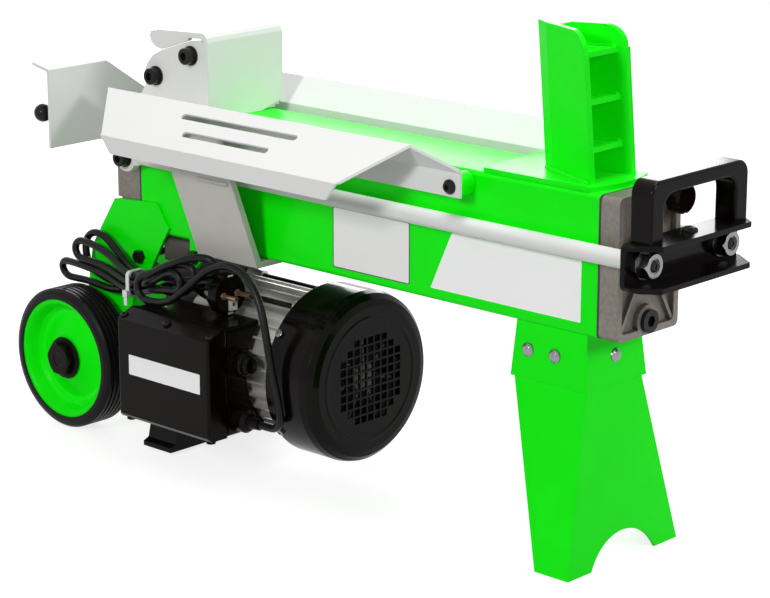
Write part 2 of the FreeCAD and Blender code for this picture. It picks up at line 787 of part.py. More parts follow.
def table():
    """Folded sheet: flange, slope up to the crest, slope down with two slots, lip."""
    t = table_sheet
    fy, fz = table_flange_y, table_flange_top
    up = math.atan2(crest_z - fz, crest_y - fy)
    down = math.atan2(lip_z - crest_z, lip_y - crest_y)
    flange_low = fz - table_flange_height
    lip_low = lip_z - lip_height
    centre = [(fy, flange_low), (fy, fz), (crest_y, crest_z), (lip_y, lip_z), (lip_y, lip_low)]
    turns = [math.pi / 2, up, down, -math.pi / 2]
    left = []
    right = []
    for i, (y, z) in enumerate(centre):
        before = turns[max(i - 1, 0)]
        after = turns[min(i, len(turns) - 1)]
        middle = (before + after) / 2
        width = t / 2 / math.cos((before - after) / 2)
        left.append((y - width * math.sin(middle), z + width * math.cos(middle)))
        right.append((y + width * math.sin(middle), z - width * math.cos(middle)))
    outline = left + right[::-1]
    sheet = cross_plate(outline, table_rear, table_front)
    crest_front = table_front - crest_front_trim
    lip_front = table_front - lip_front_trim
    crest_rear = table_rear + crest_rear_trim
    lip_rear = table_rear + lip_rear_trim
    plan = floor_plate([(table_front, fy - t), (table_front, fy + t), (crest_front, crest_y),
                        (lip_front, lip_y), (lip_front, lip_y + t), (lip_rear, lip_y + t),
                        (lip_rear, lip_y), (crest_rear, crest_y), (table_rear, fy + t),
                        (table_rear, fy - t)], flange_low - 5, crest_z + 10)
    sheet = sheet.common(plan)
    for x, end in ((lip_front, 1), (lip_rear, -1)):
        slant = side_plate([(x, lip_z), (x + end * 4.0, lip_z), (x + end * 4.0, lip_low - 1),
                            (x - end * 16.0, lip_low - 1)],
                           lip_y - t - 1, lip_y + t + 1)
        sheet = sheet.cut(slant)
    for x0, x1, share in ((table_front - 334.0, table_front - 173.0, 0.29),
                          (table_front - 315.0, table_front - 195.0, 0.65)):
        y = crest_y + share * (lip_y - crest_y)
        z = crest_z + share * (lip_z - crest_z)
        r = slot_width / 2
        middle = box(x0 + r, x1 - r, -r, r, -8, 8)
        slot = fused([middle, rod_z(r, -8, 8, x0 + r, 0), rod_z(r, -8, 8, x1 - r, 0)])
        slot.rotate(V(0, 0, 0), X, math.degrees(down))
        slot.translate(V(0, y, z))
        sheet = sheet.cut(slot)
    return sheet.cut(rod_y(5.0, fy - t, fy + t, boss_x, boss_z))


boss_x = table_front - 12.5
boss_z = table_flange_top - 14.5
strap_front = cap_face - strap_setback
strap_rear = strap_front - strap_width


def table_boss():
    return rod_y(boss_radius, half_beam, table_flange_y - table_sheet / 2, boss_x, boss_z)


def table_bolt():
    seat = table_flange_y + table_sheet / 2
    head = turned([(0, 0), (0, 7.0), (2.0, 7.0), (5.0, 4.5), (5.0, 0)], boss_x, seat, boss_z, "y")
    head = head.cut(hexagon_y(5.0, seat + 2.5, seat + 5.0, boss_x, boss_z))
    return fused([head, rod_y(4.0, seat - table_sheet - 12.0, seat, boss_x, boss_z)])


def strap():
    """Wide flat bar welded under the outer slopes of both tables and passing below the beam."""
    t = strap_sheet
    down = math.atan2(lip_z - crest_z, lip_y - crest_y)
    top_y = strap_top_y
    under = crest_z + (top_y - crest_y) * math.tan(down) - table_sheet / 2 / math.cos(down)
    low = beam_bottom - t
    y0 = half_beam + strap_foot_gap
    lean = math.atan2(top_y - y0, under - beam_bottom)
    out = t / math.cos(lean)
    end = under - out * math.tan(-down) / (1 + math.tan(-down) * math.tan(lean))
    y_end = top_y + out - (under - end) * math.tan(lean)
    half = [(0, low), (y0 + out - t * math.tan(lean) / 2, low), (y_end, end), (top_y, under),
            (y0, beam_bottom), (0, beam_bottom)]
    arm = cross_plate(half, strap_rear, strap_front)
    return arm.fuse(far(arm)).removeSplitter()


save("side_table_far", table())
save("side_table_near", far(table()))
save("table_strap", strap())

# ---------------------------------------------------------------- leg and its socket
socket_front = cap_face - socket_setback
socket_rear = socket_front - socket_length
socket_low = beam_bottom - socket_height
socket_slope = socket_lean / socket_height
leg_gap = 0.2
leg_top = beam_bottom - 8.0
screw_drop = 27.0


def socket_at(z, inset=0.0):
    """Rear, front and half width of the socket at height z, less an inset."""
    rise = z - socket_low
    return (socket_rear + 3.0 * rise / socket_height, socket_front - socket_slope * rise - inset,
            socket_half - socket_slope * rise - inset)


def u_section(x0, x1, half, t, z):
    """U open to the rear, as a closed wire at height z."""
    points = [(x0, -half), (x1, -half), (x1, half), (x0, half), (x0, half - t),
              (x1 - t, half - t), (x1 - t, t - half), (x0, t - half)]
    corners = [V(x, y, z) for x, y in points]
    return Part.makePolygon(corners + [corners[0]])


def leg_socket():
    sections = []
    for z in (socket_low, beam_bottom):
        rear, front, half = socket_at(z)
        sections.append(u_section(rear, front, half, socket_sheet, z))
    return Part.makeLoft(sections, True, True)


def leg():
    """Pressed U that tapers in side view and spreads in front view, with an arch in its front."""
    inset = socket_sheet + leg_gap
    neck_sections = []
    for z in (socket_low, leg_top):
        rear, front, half = socket_at(z, inset)
        neck_sections.append(u_section(rear + 2.0, front, half, leg_sheet, z))
    foot_x1 = cap_face - leg_foot_setback
    foot_x0 = foot_x1 - leg_foot_length
    ground = u_section(foot_x0, foot_x1, leg_foot_half_width, leg_sheet, 0)
    body = Part.makeLoft([ground, neck_sections[0]], True, True)
    neck = Part.makeLoft(neck_sections, True, True)
    arch_centre = leg_arch_depth - leg_arch_radius
    arch = rod_x(leg_arch_radius, foot_x1 - 20.0, foot_x1 + 5.0, 0, arch_centre)
    return fused([neck, body]).cut(arch)


def leg_screws():
    """Round head screws through socket and leg: two each side, one in front."""
    z = beam_bottom - screw_drop
    rear, front, half = socket_at(z, 0.4)
    profile = [(0, 0), (0, 7.0), (1.5, 6.6), (3.2, 4.5), (4.0, 0)]
    tip = socket_sheet + leg_sheet + leg_gap + 4.0
    screws = []
    for x in (front - 38.0, front - 70.0):
        head = turned(profile, x, half, z, "y")
        screws.append(fused([head, rod_y(4.0, half - tip, half, x, z)]))
    screws = both_sides(screws)
    head = turned(profile, front, 0, z, "x")
    screws.append(fused([head, rod_x(4.0, front - tip, front, 0, z)]))
    return screws


def drill(shape, screws):
    for s in screws:
        shape = shape.cut(s)
    return shape


screws = leg_screws()
save("leg_socket", drill(leg_socket(), screws))
save("support_leg", drill(leg(), screws))
save("leg_screws", screws)

# ---------------------------------------------------------------- beam with its welded bosses
beam_shell = beam()
for boss in both_sides([table_boss().cut(rod_y(4.0, half_beam - 5, table_flange_y, boss_x, boss_z))]):
    beam_shell = beam_shell.fuse(boss)
lug_rear = cap_face - 558.0
lug_front = lug_rear + 14.5
lug_sheet = 4.0
lug_low = beam_bottom - 26.0
lug_bolt_z = beam_bottom - 14.0
lug_bolt_x = (lug_rear + lug_front) / 2
lug_high = beam_bottom + 24.0
lug = side_plate([(lug_rear, lug_high), (lug_rear, lug_low + 6), (lug_rear + 5, lug_low),
                  (lug_front - 5, lug_low), (lug_front, lug_low + 6), (lug_front, lug_high)],
                 half_beam, half_beam + lug_sheet)
lug = lug.cut(rod_y(4.0, half_beam, half_beam + lug_sheet, lug_bolt_x, lug_bolt_z))
for piece in both_sides([lug]):
    beam_shell = beam_shell.fuse(piece)
save("oil_tank_beam", beam_shell.removeSplitter())

# ---------------------------------------------------------------- axle bracket, axle and wheels
bracket_sheet = 3.5
bracket_bolt_x = beam_rear - 0.5
bracket_bolt_z = beam_bottom - 28.0
hub_in = 17.0
hub_out = 13.0
hub_radius = 14.0
washer_gap = 0.3
spacer_wall = 3.0
wheel_inner = wheel_offset - hub_in


def axle_bracket():
    """Two five-sided plates outside the beam, drawn down to the axle and tied by a cross web."""
    top = beam_bottom + 31.0
    outline = [(rear_face - 8.0, top - 2.0), (beam_rear + 27.0, top + 3.0), (beam_rear + 45.0, top - 22.0),
               (beam_rear + 14.0, beam_bottom - 42.0), (beam_rear - 8.0, beam_bottom - 45.0),
               (beam_rear - 15.0, beam_bottom - 82.0), (axle_x + 16.0, wheel_radius - 14.0),
               (axle_x + 6.0, wheel_radius - 20.0), (axle_x - 8.0, wheel_radius - 20.0),
               (axle_x - 18.0, wheel_radius - 8.0), (axle_x - 18.0, wheel_radius + 20.0),
               (axle_x + 1.0, beam_bottom - 28.0)]
    plate = side_plate(outline, half_beam, half_beam + bracket_sheet)
    for x, z, r in ((axle_x, wheel_radius, axle_radius), (bracket_bolt_x, bracket_bolt_z, 4.0)):
        plate = plate.cut(rod_y(r + running_clearance, half_beam, half_beam + bracket_sheet, x, z))
    web_x0 = beam_rear - 12.0
    web = box(web_x0 - bracket_sheet, web_x0, -half_beam, half_beam, beam_bottom - 62.0, beam_bottom)
    web = web.cut(rod_x(18.0, web_x0 - bracket_sheet, web_x0, 0, beam_bottom - 32.0))
    return fused([plate, far(plate), web])


def wheel_axle():
    """Straight axle with a spacer tube and a washer inside each wheel and a clip outside."""
    end = wheel_offset + hub_out + washer_gap
    axle = rod_y(axle_radius, -end - 2.5, end + 2.5, axle_x, wheel_radius)
    bracket_face = half_beam + bracket_sheet
    spacer = rod_y(axle_radius + spacer_wall, bracket_face, wheel_inner - washer_gap, axle_x, wheel_radius)
    spacer = spacer.cut(rod_y(axle_radius, bracket_face, wheel_inner - washer_gap, axle_x, wheel_radius))
    clip = rod_y(11.0, end, end + 1.5, axle_x, wheel_radius)
    clip = clip.cut(rod_y(axle_radius, end, end + 1.5, axle_x, wheel_radius))
    return [axle] + both_sides([spacer, clip])


def tyre():
    """Solid rubber tyre with rounded shoulders and grooves round its tread."""
    w, r = tyre_width / 2, wheel_radius
    land = (2 * w - 8.0) / (tread_grooves * 2 + 1)
    profile = [(-w, rim_radius), (-w, r - 7.0), (-w + 1.5, r - 2.5), (-w + 4.0, r)]
    a = -w + 4.0
    for _ in range(tread_grooves):
        a += land
        profile += [(a, r), (a + land * 0.25, r - 2.0), (a + land * 0.75, r - 2.0), (a + land, r)]
        a += land
    profile += [(w - 4.0, r), (w - 1.5, r - 2.5), (w, r - 7.0), (w, rim_radius)]
    return turned(profile, axle_x, wheel_offset, wheel_radius, "y")


def rim():
    """Deep moulded dish: thin lip, steep wall, smooth cone and hub."""
    face = tyre_width / 2 - 1.5
    r = rim_radius
    b = axle_radius + running_clearance
    back = [(-face, r), (-face, r - 4.0), (face - 20.0, r - 9.0), (face - 20.0, 44.0),
            (hub_out - 9.0, hub_radius + 6.0), (-hub_in, hub_radius), (-hub_in, b)]
    dish = [(hub_out, b), (hub_out, 21.0), (hub_out - 0.6, 25.0), (face - 14.5, 41.0),
            (face - 16.5, 46.0), (face - 15.5, 50.5), (face - 12.0, 54.0), (face - 5.0, 57.5),
            (face - 1.5, 60.0), (face, 62.0), (face, r)]
    return turned(back + dish, axle_x, wheel_offset, wheel_radius, "y")


def hub_cap():
    """Round flange with a thick hexagon head and a shallow dimple, pressed on the axle end."""
    seat = wheel_offset + hub_out + washer_gap + 1.5
    r = hub_cap_radius
    profile = [(0, 0), (0, 11.2), (-0.9, 12.5), (-0.9, r - 1.0), (0.5, r), (2.0, r - 0.8),
               (2.8, r - 3.0), (2.8, 0)]
    cap = turned(profile, axle_x, seat, wheel_radius, "y")
    head = hexagon_y(hub_cap_hexagon, seat + 2.8, seat + 10.5, axle_x, wheel_radius)
    corner = hub_cap_hexagon / math.sqrt(3)
    bevel = turned([(2.8, 0), (2.8, corner), (8.6, corner), (10.5, corner - 3.4), (10.5, 0)],
                   axle_x, seat, wheel_radius, "y")
    cap = cap.fuse(head.common(bevel)).removeSplitter()
    cap = cap.cut(turned([(9.6, 0), (9.6, 6.0), (10.5, 7.5), (10.5, 0)], axle_x, seat, wheel_radius, "y"))
    return cap.cut(rod_y(axle_radius, seat - 1.5, seat + 1.0, axle_x, wheel_radius))


save("axle_bracket", axle_bracket())
save("wheel_axle", wheel_axle())
save("tyre_far", tyre())
save("tyre_near", far(tyre()))
save("rim_far", rim())
save("rim_near", far(rim()))
save("hub_caps", both_sides([hub_cap()]))

# ---------------------------------------------------------------- motor
cover_front = cap_face - fan_cover_setback
cover_rear = cover_front - fan_cover_length
bell_overlap = 10.0
front_bell_x1 = cover_rear + bell_overlap
front_bell_x0 = front_bell_x1 - end_bell_length
stator_x0 = front_bell_x0 - stator_length
rear_bell_x0 = stator_x0 - end_bell_length
pump_x0 = rear_bell_x0 - pump_length
pump_cover_x0 = pump_x0 - pump_cover_length
mz = motor_axis_z
cover_inner = fan_cover_radius - fan_cover_sheet
fin_radius = stator_radius + fin_height
stud_radius = 3.0
stud_places = [(s * 33.0, mz + t * 67.5) for s in (-1, 1) for t in (-1, 1)]
bearing_radius = 17.5
bearing_width = 11.0
end_play = 0.5


def fan_cover():
    """Drawn cup with a rounded shoulder, a raised ring and a grille of square holes."""
    t, r, length, q = fan_cover_sheet, fan_cover_radius, fan_cover_length, fan_cover_round
    outer = [(-length, 0), (-length, r), (-q, r)]
    for a in (30, 60):
        outer.append((-q + q * math.sin(math.radians(a)), r - q + q * math.cos(math.radians(a))))
    outer += [(0, r - q), (0, grille_ring_radius + 5.0), (1.2, grille_ring_radius + 4.0),
              (1.2, grille_ring_radius + 1.0), (0, grille_ring_radius), (0, 0)]
    inner = [(-length, 0), (-length, r - t), (-q, r - t), (-q + (q - t) * 0.5, r - t - (q - t) * 0.134),
             (-t - (q - t) * 0.134, r - q + (q - t) * 0.5), (-t, r - q), (-t, 0)]
    cup = turned(outer, cover_front, 0, mz, "x").cut(turned(inner, cover_front, 0, mz, "x"))
    h = (grille_pitch_y - grille_rib) / 2
    v = (grille_pitch_z - grille_rib) / 2
    holes = []
    for i in range(grille_columns):
        for j in range(grille_rows):
            y = (i - (grille_columns - 1) / 2) * grille_pitch_y
            z = (j - (grille_rows - 1) / 2) * grille_pitch_z
            if math.hypot(abs(y), abs(z)) < grille_field_radius:
                holes.append(box(cover_front - t - 1, cover_front + 1, y - h, y + h, mz + z - v, mz + z + v))
    return cup.cut(Part.makeCompound(holes))


def ears(x0, x1, radius):
    """Round ears that carry the four long studs."""
    shapes = []
    for y, z in stud_places:
        shapes.append(rod_x(radius, x0, x1, y, z))
        d = V(0, y, z - mz)
        side = V(0, -d.z, d.y).normalize() * radius
        start = V(x0, 0, mz) + d * 0.6
        end = V(x0, y, z)
        web = Part.makePolygon([start + side, end + side, end - side, start - side, start + side])
        shapes.append(Part.Face(web).extrude(V(x1 - x0, 0, 0)))
    return shapes


def end_bell(x0, x1, bearing_x, wide):
    """Cast end bell: flange, bearing seat, shaft hole and stud ears."""
    x = (x0, x1)
    disc = rod_x(fin_radius - 2.0, x[0], x[1], 0, mz)
    bell = fused([disc] + ears(x0, x1, 6.0) + wide)
    bell = bell.cut(rod_x(shaft_radius + 1.0, x0, x1, 0, mz))
    bell = bell.cut(rod_x(bearing_radius, bearing_x, bearing_x + bearing_width, 0, mz))
    for y, z in stud_places:
        bell = bell.cut(rod_x(stud_radius + running_clearance, x0, x1, y, z))
    return bell


def front_bell():
    x1 = front_bell_x1
    reach = cover_inner - 0.1
    cross = [box(x1 - 7.0, x1, -reach, reach, mz - 7.0, mz + 7.0),
             box(x1 - 7.0, x1, -7.0, 7.0, mz - reach, mz + reach)]
    limit = rod_x(reach, front_bell_x0, x1, 0, mz)
    arms = [arm.common(limit) for arm in cross]
    return end_bell(front_bell_x0, x1, front_bell_x0, arms)


def rear_bell():
    return end_bell(rear_bell_x0, stator_x0, stator_x0 - bearing_width, [])


def stator_housing():
    """Extruded housing with lengthwise fins, and the laminated core inside it."""
    shell = rod_x(stator_radius, stator_x0, front_bell_x0, 0, mz)
    core_radius = stator_radius - 9.0
    fins = []
    for k in range(fin_count):
        fin = box(stator_x0, front_bell_x0, -1.3, 1.3, mz + core_radius + 2.0, mz + fin_radius)
        fin.rotate(V(0, 0, mz), X, 360.0 * k / fin_count)
        fins.append(fin)
    body = shell.fuse(fins).removeSplitter()
    body = body.cut(rod_x(core_radius, stator_x0, front_bell_x0, 0, mz))
    for y, z in stud_places:
        body = body.cut(rod_x(stud_radius + 0.3, stator_x0, front_bell_x0, y, z))
    core = rod_x(core_radius, stator_x0 + 8.0, front_bell_x0 - 8.0, 0, mz)
    core = core.cut(rod_x(rotor_radius + air_gap, stator_x0, front_bell_x0, 0, mz))
    return [body, core]


fan_x1 = cover_front - fan_cover_sheet - 7.0
fan_x0 = fan_x1 - 30.0
shaft_front = fan_x1 - 4.0
gear_x1 = rear_bell_x0 - 14.0
gear_x0 = gear_x1 - gear_width


def rotor():
    """Shaft from the fan to the pump gear, with the rotor core on it."""
    shaft = rod_x(shaft_radius, gear_x0 - 10.0, shaft_front, 0, mz)
    core = rod_x(rotor_radius, stator_x0 + 8.0, front_bell_x0 - 8.0, 0, mz)
    return [shaft, core.cut(rod_x(shaft_radius, stator_x0, front_bell_x0, 0, mz))]


def cooling_fan():
    """Hub, back disc and straight radial blades."""
    hub = rod_x(shaft_radius + 7.0, fan_x0, fan_x1, 0, mz)
    disc = rod_x(cover_inner - 14.0, fan_x0, fan_x0 + 2.5, 0, mz)
    tip = cover_inner - 9.0
    parts = [hub, disc]
    for k in range(fan_blades):
        blade = side_plate([(fan_x0, mz + 10), (fan_x1, mz + 10),
                            (fan_x1 - 5.0, mz + tip), (fan_x0, mz + tip)],
                           -1.2, 1.2)
        blade.rotate(V(0, 0, mz), X, 360.0 * k / fan_blades)
        parts.append(blade)
    return fused(parts).cut(rod_x(shaft_radius, fan_x0, shaft_front, 0, mz))


def bearing(x0):
    ring = rod_x(bearing_radius, x0, x0 + bearing_width, 0, mz)
    return ring.cut(rod_x(shaft_radius + running_clearance, x0, x0 + bearing_width, 0, mz))


def motor_studs():
    studs = []
    for y, z in stud_places:
        stud = rod_x(stud_radius, rear_bell_x0 - 5.0, front_bell_x1 + 5.0, y, z)
        nuts = [hexagon_x(8.0, front_bell_x1, front_bell_x1 + 4.0, y, z),
                hexagon_x(8.0, rear_bell_x0 - 4.0, rear_bell_x0, y, z)]
        studs.append(fused([stud] + nuts))
    return studs


save("fan_cover", fan_cover())
save("stator_housing", stator_housing())
save("motor_end_bells", [front_bell(), rear_bell()])
save("rotor", rotor())
save("cooling_fan", cooling_fan())
save("motor_bearings", [bearing(front_bell_x0), bearing(stator_x0 - bearing_width)])
save("motor_studs", motor_studs())

# ---------------------------------------------------------------- gear pump
gear_pitch_radius = gear_module * gear_teeth / 2
gear_tip = gear_pitch_radius + 0.8 * gear_module
gear_root = gear_pitch_radius - 1.05 * gear_module
gear_centre_z = mz + 2 * gear_pitch_radius
backlash = 0.35
pressure_angle = math.radians(25)
driven_shaft = 6.0


def gear(z_centre, phase):
    """Spur gear about X with involute flanks; phase turns it by a share of one tooth."""
    base = gear_pitch_radius * math.cos(pressure_angle)

    def involute(r):
        a = math.acos(min(1.0, base / r))
        return math.tan(a) - a

    half = math.pi / (2 * gear_teeth) - backlash / (2 * gear_pitch_radius)
    flank = []
    steps = 4
    low = max(base, gear_root)
    for i in range(steps):
        r = low + (gear_tip - low) * i / (steps - 1)
        flank.append((r, half + involute(gear_pitch_radius) - involute(r)))
    points = []
    pitch = 2 * math.pi / gear_teeth
    for k in range(gear_teeth):
        middle = math.pi / 2 + (k + phase) * pitch
        tooth = [(gear_root, -flank[0][1])] + [(r, -a) for r, a in flank]
        tooth += [(r, a) for r, a in reversed(flank)] + [(gear_root, flank[0][1])]
        points += [(r * math.cos(middle + a), z_centre + r * math.sin(middle + a)) for r, a in tooth]
    return cross_plate(points, gear_x0, gear_x1)


pump_body_radius = 48.0
waist_radius = 14.0
waist_low = 58.0
waist_high = 88.0


def pump_housing():
    """Cast body under the beam with two gear bores, and its rear cover."""
    neck_half = half_beam
    body = rod_x(pump_body_radius, pump_x0, rear_bell_x0, 0, mz)
    neck = box(pump_x0, rear_bell_x0, -neck_half, neck_half, mz, beam_bottom)
    neck = rounded(neck, 8.0, X, lambda e: e.CenterOfMass.z > beam_bottom - 1)
    waist = rod_z(waist_radius, mz + waist_low, mz + waist_high, pump_x0 + 6.0, -neck_half)
    body = fused([body, neck]).cut(fused([waist, far(waist)]))
    for y, z in stud_places:
        body = body.cut(rod_x(8.0, rear_bell_x0 - 6.0, rear_bell_x0, y, z))
    body = body.cut(rod_x(shaft_radius + running_clearance, gear_x0 - 10.5, rear_bell_x0, 0, mz))
    body = body.cut(rod_x(driven_shaft + running_clearance, gear_x0 - 10.5, gear_x1 + 8.5, 0, gear_centre_z))
    for z in (mz, gear_centre_z):
        body = body.cut(rod_x(gear_tip + 0.1, gear_x0 - end_play / 2, gear_x1 + end_play / 2, 0, z))
    body = body.cut(rod_y(4.0, -neck_half, neck_half, lug_bolt_x, lug_bolt_z))
    cover = cross_plate([(-34, mz - 30), (34, mz - 30), (34, mz + 50), (-34, mz + 50)],
                        pump_cover_x0, pump_x0)
    cover = rounded(cover, 12.0, X)
    cap_screws = [hexagon_x(8.0, pump_cover_x0 - 4.0, pump_cover_x0, s * 26, mz + z) for s in (-1, 1)
                  for z in (-22, 42)]
    return [body, fused([cover] + cap_screws)]


def driven_gear():
    shaft = rod_x(driven_shaft, gear_x0 - 10.0, gear_x1 + 8.0, 0, gear_centre_z)
    return fused([gear(gear_centre_z, 0.5), shaft])


drive = gear(mz, 0.0).cut(rod_x(shaft_radius, gear_x0, gear_x1, 0, mz))
save("pump_housing", pump_housing())
save("drive_gear", drive)
save("driven_gear", driven_gear())

foot_x0, foot_x1 = rear_bell_x0 - 40.0, rear_bell_x0 + 2.0
foot_low = 4.0
foot_half = 88.0
foot_profile = [(foot_half, foot_low), (foot_half, foot_low + 5), (foot_half - 7, foot_low + 8),
                (foot_half - 12, foot_low + 30), (38, foot_low + 42), (34, mz - 20)]
foot = cross_plate([(-y, z) for y, z in reversed(foot_profile)] + foot_profile, foot_x0, foot_x1)
foot = foot.cut(rod_x(fin_radius - 2.0, rear_bell_x0, foot_x1, 0, mz))
foot = foot.cut(rod_x(pump_body_radius, foot_x0, rear_bell_x0, 0, mz))
for stud_y, stud_z in stud_places:
    foot = foot.cut(rod_x(8.0, foot_x0, foot_x1, stud_y, stud_z))
save("motor_foot", foot)

# ---------------------------------------------------------------- control box
box_x1 = cap_face - box_front_setback
box_x0 = box_x1 - box_length
button_y, button_z = -86.5, 124.0
button_radius = 12.0
gland_y, gland_z = -86.0, 64.0
gland_radius = 12.0
cord_radius = 4.0
gland_length = 32.0


def control_box_base():
    """Moulded base with a saddle on the motor fins, a button collar and the cord hole."""
    w = box_wall
    body = box(box_x0, box_x1, -box_split_y, -box_back_y, box_bottom, box_top)
    body = rounded(body, 5.0, Y)
    body = body.cut(rod_x(fin_radius + 0.3, box_x0, box_x1, 0, mz))
    depth = box_split_y - fin_radius - 4.0
    cavity = box(box_x0 + w, box_x1 - w, -box_split_y, depth - box_split_y, box_bottom + w, box_top - w)
    body = body.cut(cavity)
    collar = rod_x(button_radius + 3.0, box_x1, box_x1 + 7.0, button_y, button_z)
    body = fused([body, collar]).cut(rod_x(fin_radius + 0.3, box_x1, box_x1 + 7.0, 0, mz))
    body = body.cut(rod_x(button_radius + running_clearance, box_x1, box_x1 + 7.0, button_y, button_z))
    body = body.cut(rod_x(5.0, box_x1 - w, box_x1, button_y, button_z))
    return body.cut(rod_x(gland_radius - 4.0, box_x1 - w, box_x1, gland_y, gland_z))


def control_box_cover():
    """Lid with bevelled upper and lower edges and a rounded rim."""
    w = box_wall
    near, split = -box_near_y, -box_split_y
    outer = cross_plate([(split, box_bottom), (near + 4.0, box_bottom), (near, box_bottom + 4.0),
                         (near, box_top - 8.5), (near + 19.0, box_top), (split, box_top)], box_x0, box_x1)
    outer = rounded(outer, 3.0, V(0, 0, 1))
    inner = cross_plate([(split, box_bottom + w), (near + 5.0, box_bottom + w), (near + w, box_bottom + 6.0),
                         (near + w, box_top - 11.0), (near + 20.0, box_top - w), (split, box_top - w)],
                        box_x0 + w, box_x1 - w)
    return outer.cut(inner)


def start_button():
    """Booted push button that travels into its collar."""
    seat = box_x1 + button_travel + 0.5
    r = button_radius
    profile = [(0, 0), (0, r), (9.0, r), (11.0, r - 1.5), (15.0, r - 1.5), (18.0, r - 4.0), (19.5, 0)]
    cap = turned(profile, seat, button_y, button_z, "x")
    stem = rod_x(5.0 - running_clearance, box_x1 - box_wall, seat, button_y, button_z)
    return fused([cap, stem])


def cord_gland():
    """Hexagon body, domed nut and tapered strain relief."""
    flange = hexagon_x(2 * gland_radius - 2.0, box_x1, box_x1 + 7.0, gland_y, gland_z)
    profile = [(7.0, 0), (7.0, gland_radius), (14.0, gland_radius), (18.0, gland_radius - 3.0),
               (18.5, 6.8), (gland_length, 5.4), (gland_length, 0)]
    nut = turned(profile, box_x1, gland_y, gland_z, "x")
    spigot = rod_x(gland_radius - 4.0, box_x1 - box_wall, box_x1, gland_y, gland_z)
    bore = rod_x(cord_radius, box_x1 - box_wall, box_x1 + gland_length, gland_y, gland_z)
    return fused([flange, nut, spigot]).cut(bore)


save("control_box_base", control_box_base())
save("control_box_cover", control_box_cover())
save("start_button", start_button())
save("cord_gland", cord_gland())

# ---------------------------------------------------------------- lever, guard and valve spool
lever_sheet = 6.0
lever_half = 8.0
pivot_radius = 4.0
lever_x1 = rear_face - guard_sheet - tie_head - 1.0
lever_x0 = lever_x1 - lever_sheet
spool_x = lever_x0 + lever_sheet / 2
spool_free = 16.0
valve_top = min(tie_high - valve_drop, lever_height - lever_half - spool_free)
valve_half = 13.0
valve_height = 62.0
guard_held_low = min(tie_high, lever_height)
guard_held_high = max(tie_high, lever_height - 6.5)
guard_bottom = guard_held_low - guard_hem
guard_top = lever_height + guard_rise
valve_depth = spool_x + 12.0
knob_x = lever_x0 - 7.0
knob_y = knob_radius - guard_reach


def lever_guard():
    """Hand guard in front of the lever, clamped by the two upper tie bolts, with a folded top flap."""
    right = tie_y + 8.0
    outline = [(-guard_reach, guard_bottom), (-guard_reach, guard_top), (-61.0, guard_top),
               (-6.0, guard_held_high + 18.0), (right, guard_held_high + 10.5),
               (right, guard_bottom + 12.0), (right - 12.0, guard_bottom)]
    x1 = rear_face
    t = guard_sheet
    plate = cross_plate(outline, x1 - t, x1)
    plate = plate.cut(box(x1 - t, x1, spool_y - valve_half - 1.0, spool_y + valve_half + 1.0,
                          valve_top - valve_height, valve_top + 1.0))
    flap = side_plate([(x1, guard_top), (x1 - t, guard_top + 1.0), (x1 - guard_flap, guard_top + 5.5),
                       (x1 - guard_flap, guard_top + 5.5 - t), (x1 - t - 1.0, guard_top - t + 1.0),
                       (x1 - t, guard_top - t - 2.0), (x1, guard_top - t - 2.0)], -guard_reach, -61.0)
    plate = fused([plate, flap])
    for s in (-1, 1):
        plate = plate.cut(rod_x(tie_radius + 0.2, x1 - t, x1, s * tie_y, tie_high))
    return plate.cut(rod_x(pivot_radius, x1 - t, x1, lever_angle_y, lever_height))


def control_lever():
    """Flat bar on a pivot, stepped back to a ball knob that shows past the guard."""
    hub = rod_x(11.0, lever_x0, lever_x1, lever_angle_y, lever_height)
    plan = [(lever_x1, lever_angle_y), (lever_x1, -88.0), (knob_x + 3.0, -104.0), (knob_x + 3.0, knob_y),
            (knob_x - 3.0, knob_y), (knob_x - 3.0, -107.0), (lever_x0, -91.0), (lever_x0, lever_angle_y)]
    bar = floor_plate(plan, lever_height - lever_half, lever_height + lever_half)
    bar = bar.cut(box(knob_x - 5.0, knob_x + 5.0, knob_y - 2.0, knob_y + 12.0, lever_height - lever_half,
                      lever_height - 3.0))
    bar = bar.cut(box(knob_x - 5.0, knob_x + 5.0, knob_y - 2.0, knob_y + 12.0, lever_height + 3.0,
                      lever_height + lever_half))
    lever = fused([hub, bar])
    bore = pivot_radius + running_clearance
    lever = lever.cut(rod_x(bore, lever_x0, lever_x1, lever_angle_y, lever_height))
    ball = Part.makeSphere(knob_radius, V(knob_x, knob_y, lever_height))
    return [lever.cut(ball), ball]


def valve_spool():
    top = lever_height - lever_half - 0.2
    rod = rod_z(spool_radius, valve_top - 30.0, top - 2.0, spool_x, spool_y)
    tip = turned([(0, 0), (0, spool_radius), (2.0, 1.5), (2.0, 0)], spool_x, spool_y, top - 2.0, "z")
    collar = rod_z(spool_radius + 2.5, top - 14.0, top - 11.0, spool_x, spool_y)
    return fused([rod, tip, collar])


valve = box(spool_x - 11.0, rear_face, spool_y - valve_half, spool_y + valve_half,
            valve_top - valve_height, valve_top)
valve = rounded(valve, 6.0, Z, lambda e: e.CenterOfMass.x < rear_face - 1)
valve = valve.cut(rod_z(spool_radius + running_clearance, valve_top - 40.0, valve_top, spool_x, spool_y))
save("rear_end_cap", fused([rear_cap(), valve]))
save("lever_guard", lever_guard())
save("control_lever", control_lever())
save("valve_spool", valve_spool())


def pivot_bolt():
    shank = rod_x(pivot_radius, lever_x0 - 1.0, rear_face, lever_angle_y, lever_height)
    shoulder = rod_x(8.0, lever_x1 + 0.5, rear_face - guard_sheet, lever_angle_y, lever_height)
    head = rod_x(8.0, lever_x0 - 5.5, lever_x0 - 0.5, lever_angle_y, lever_height)
    return fused([shank, shoulder, head])


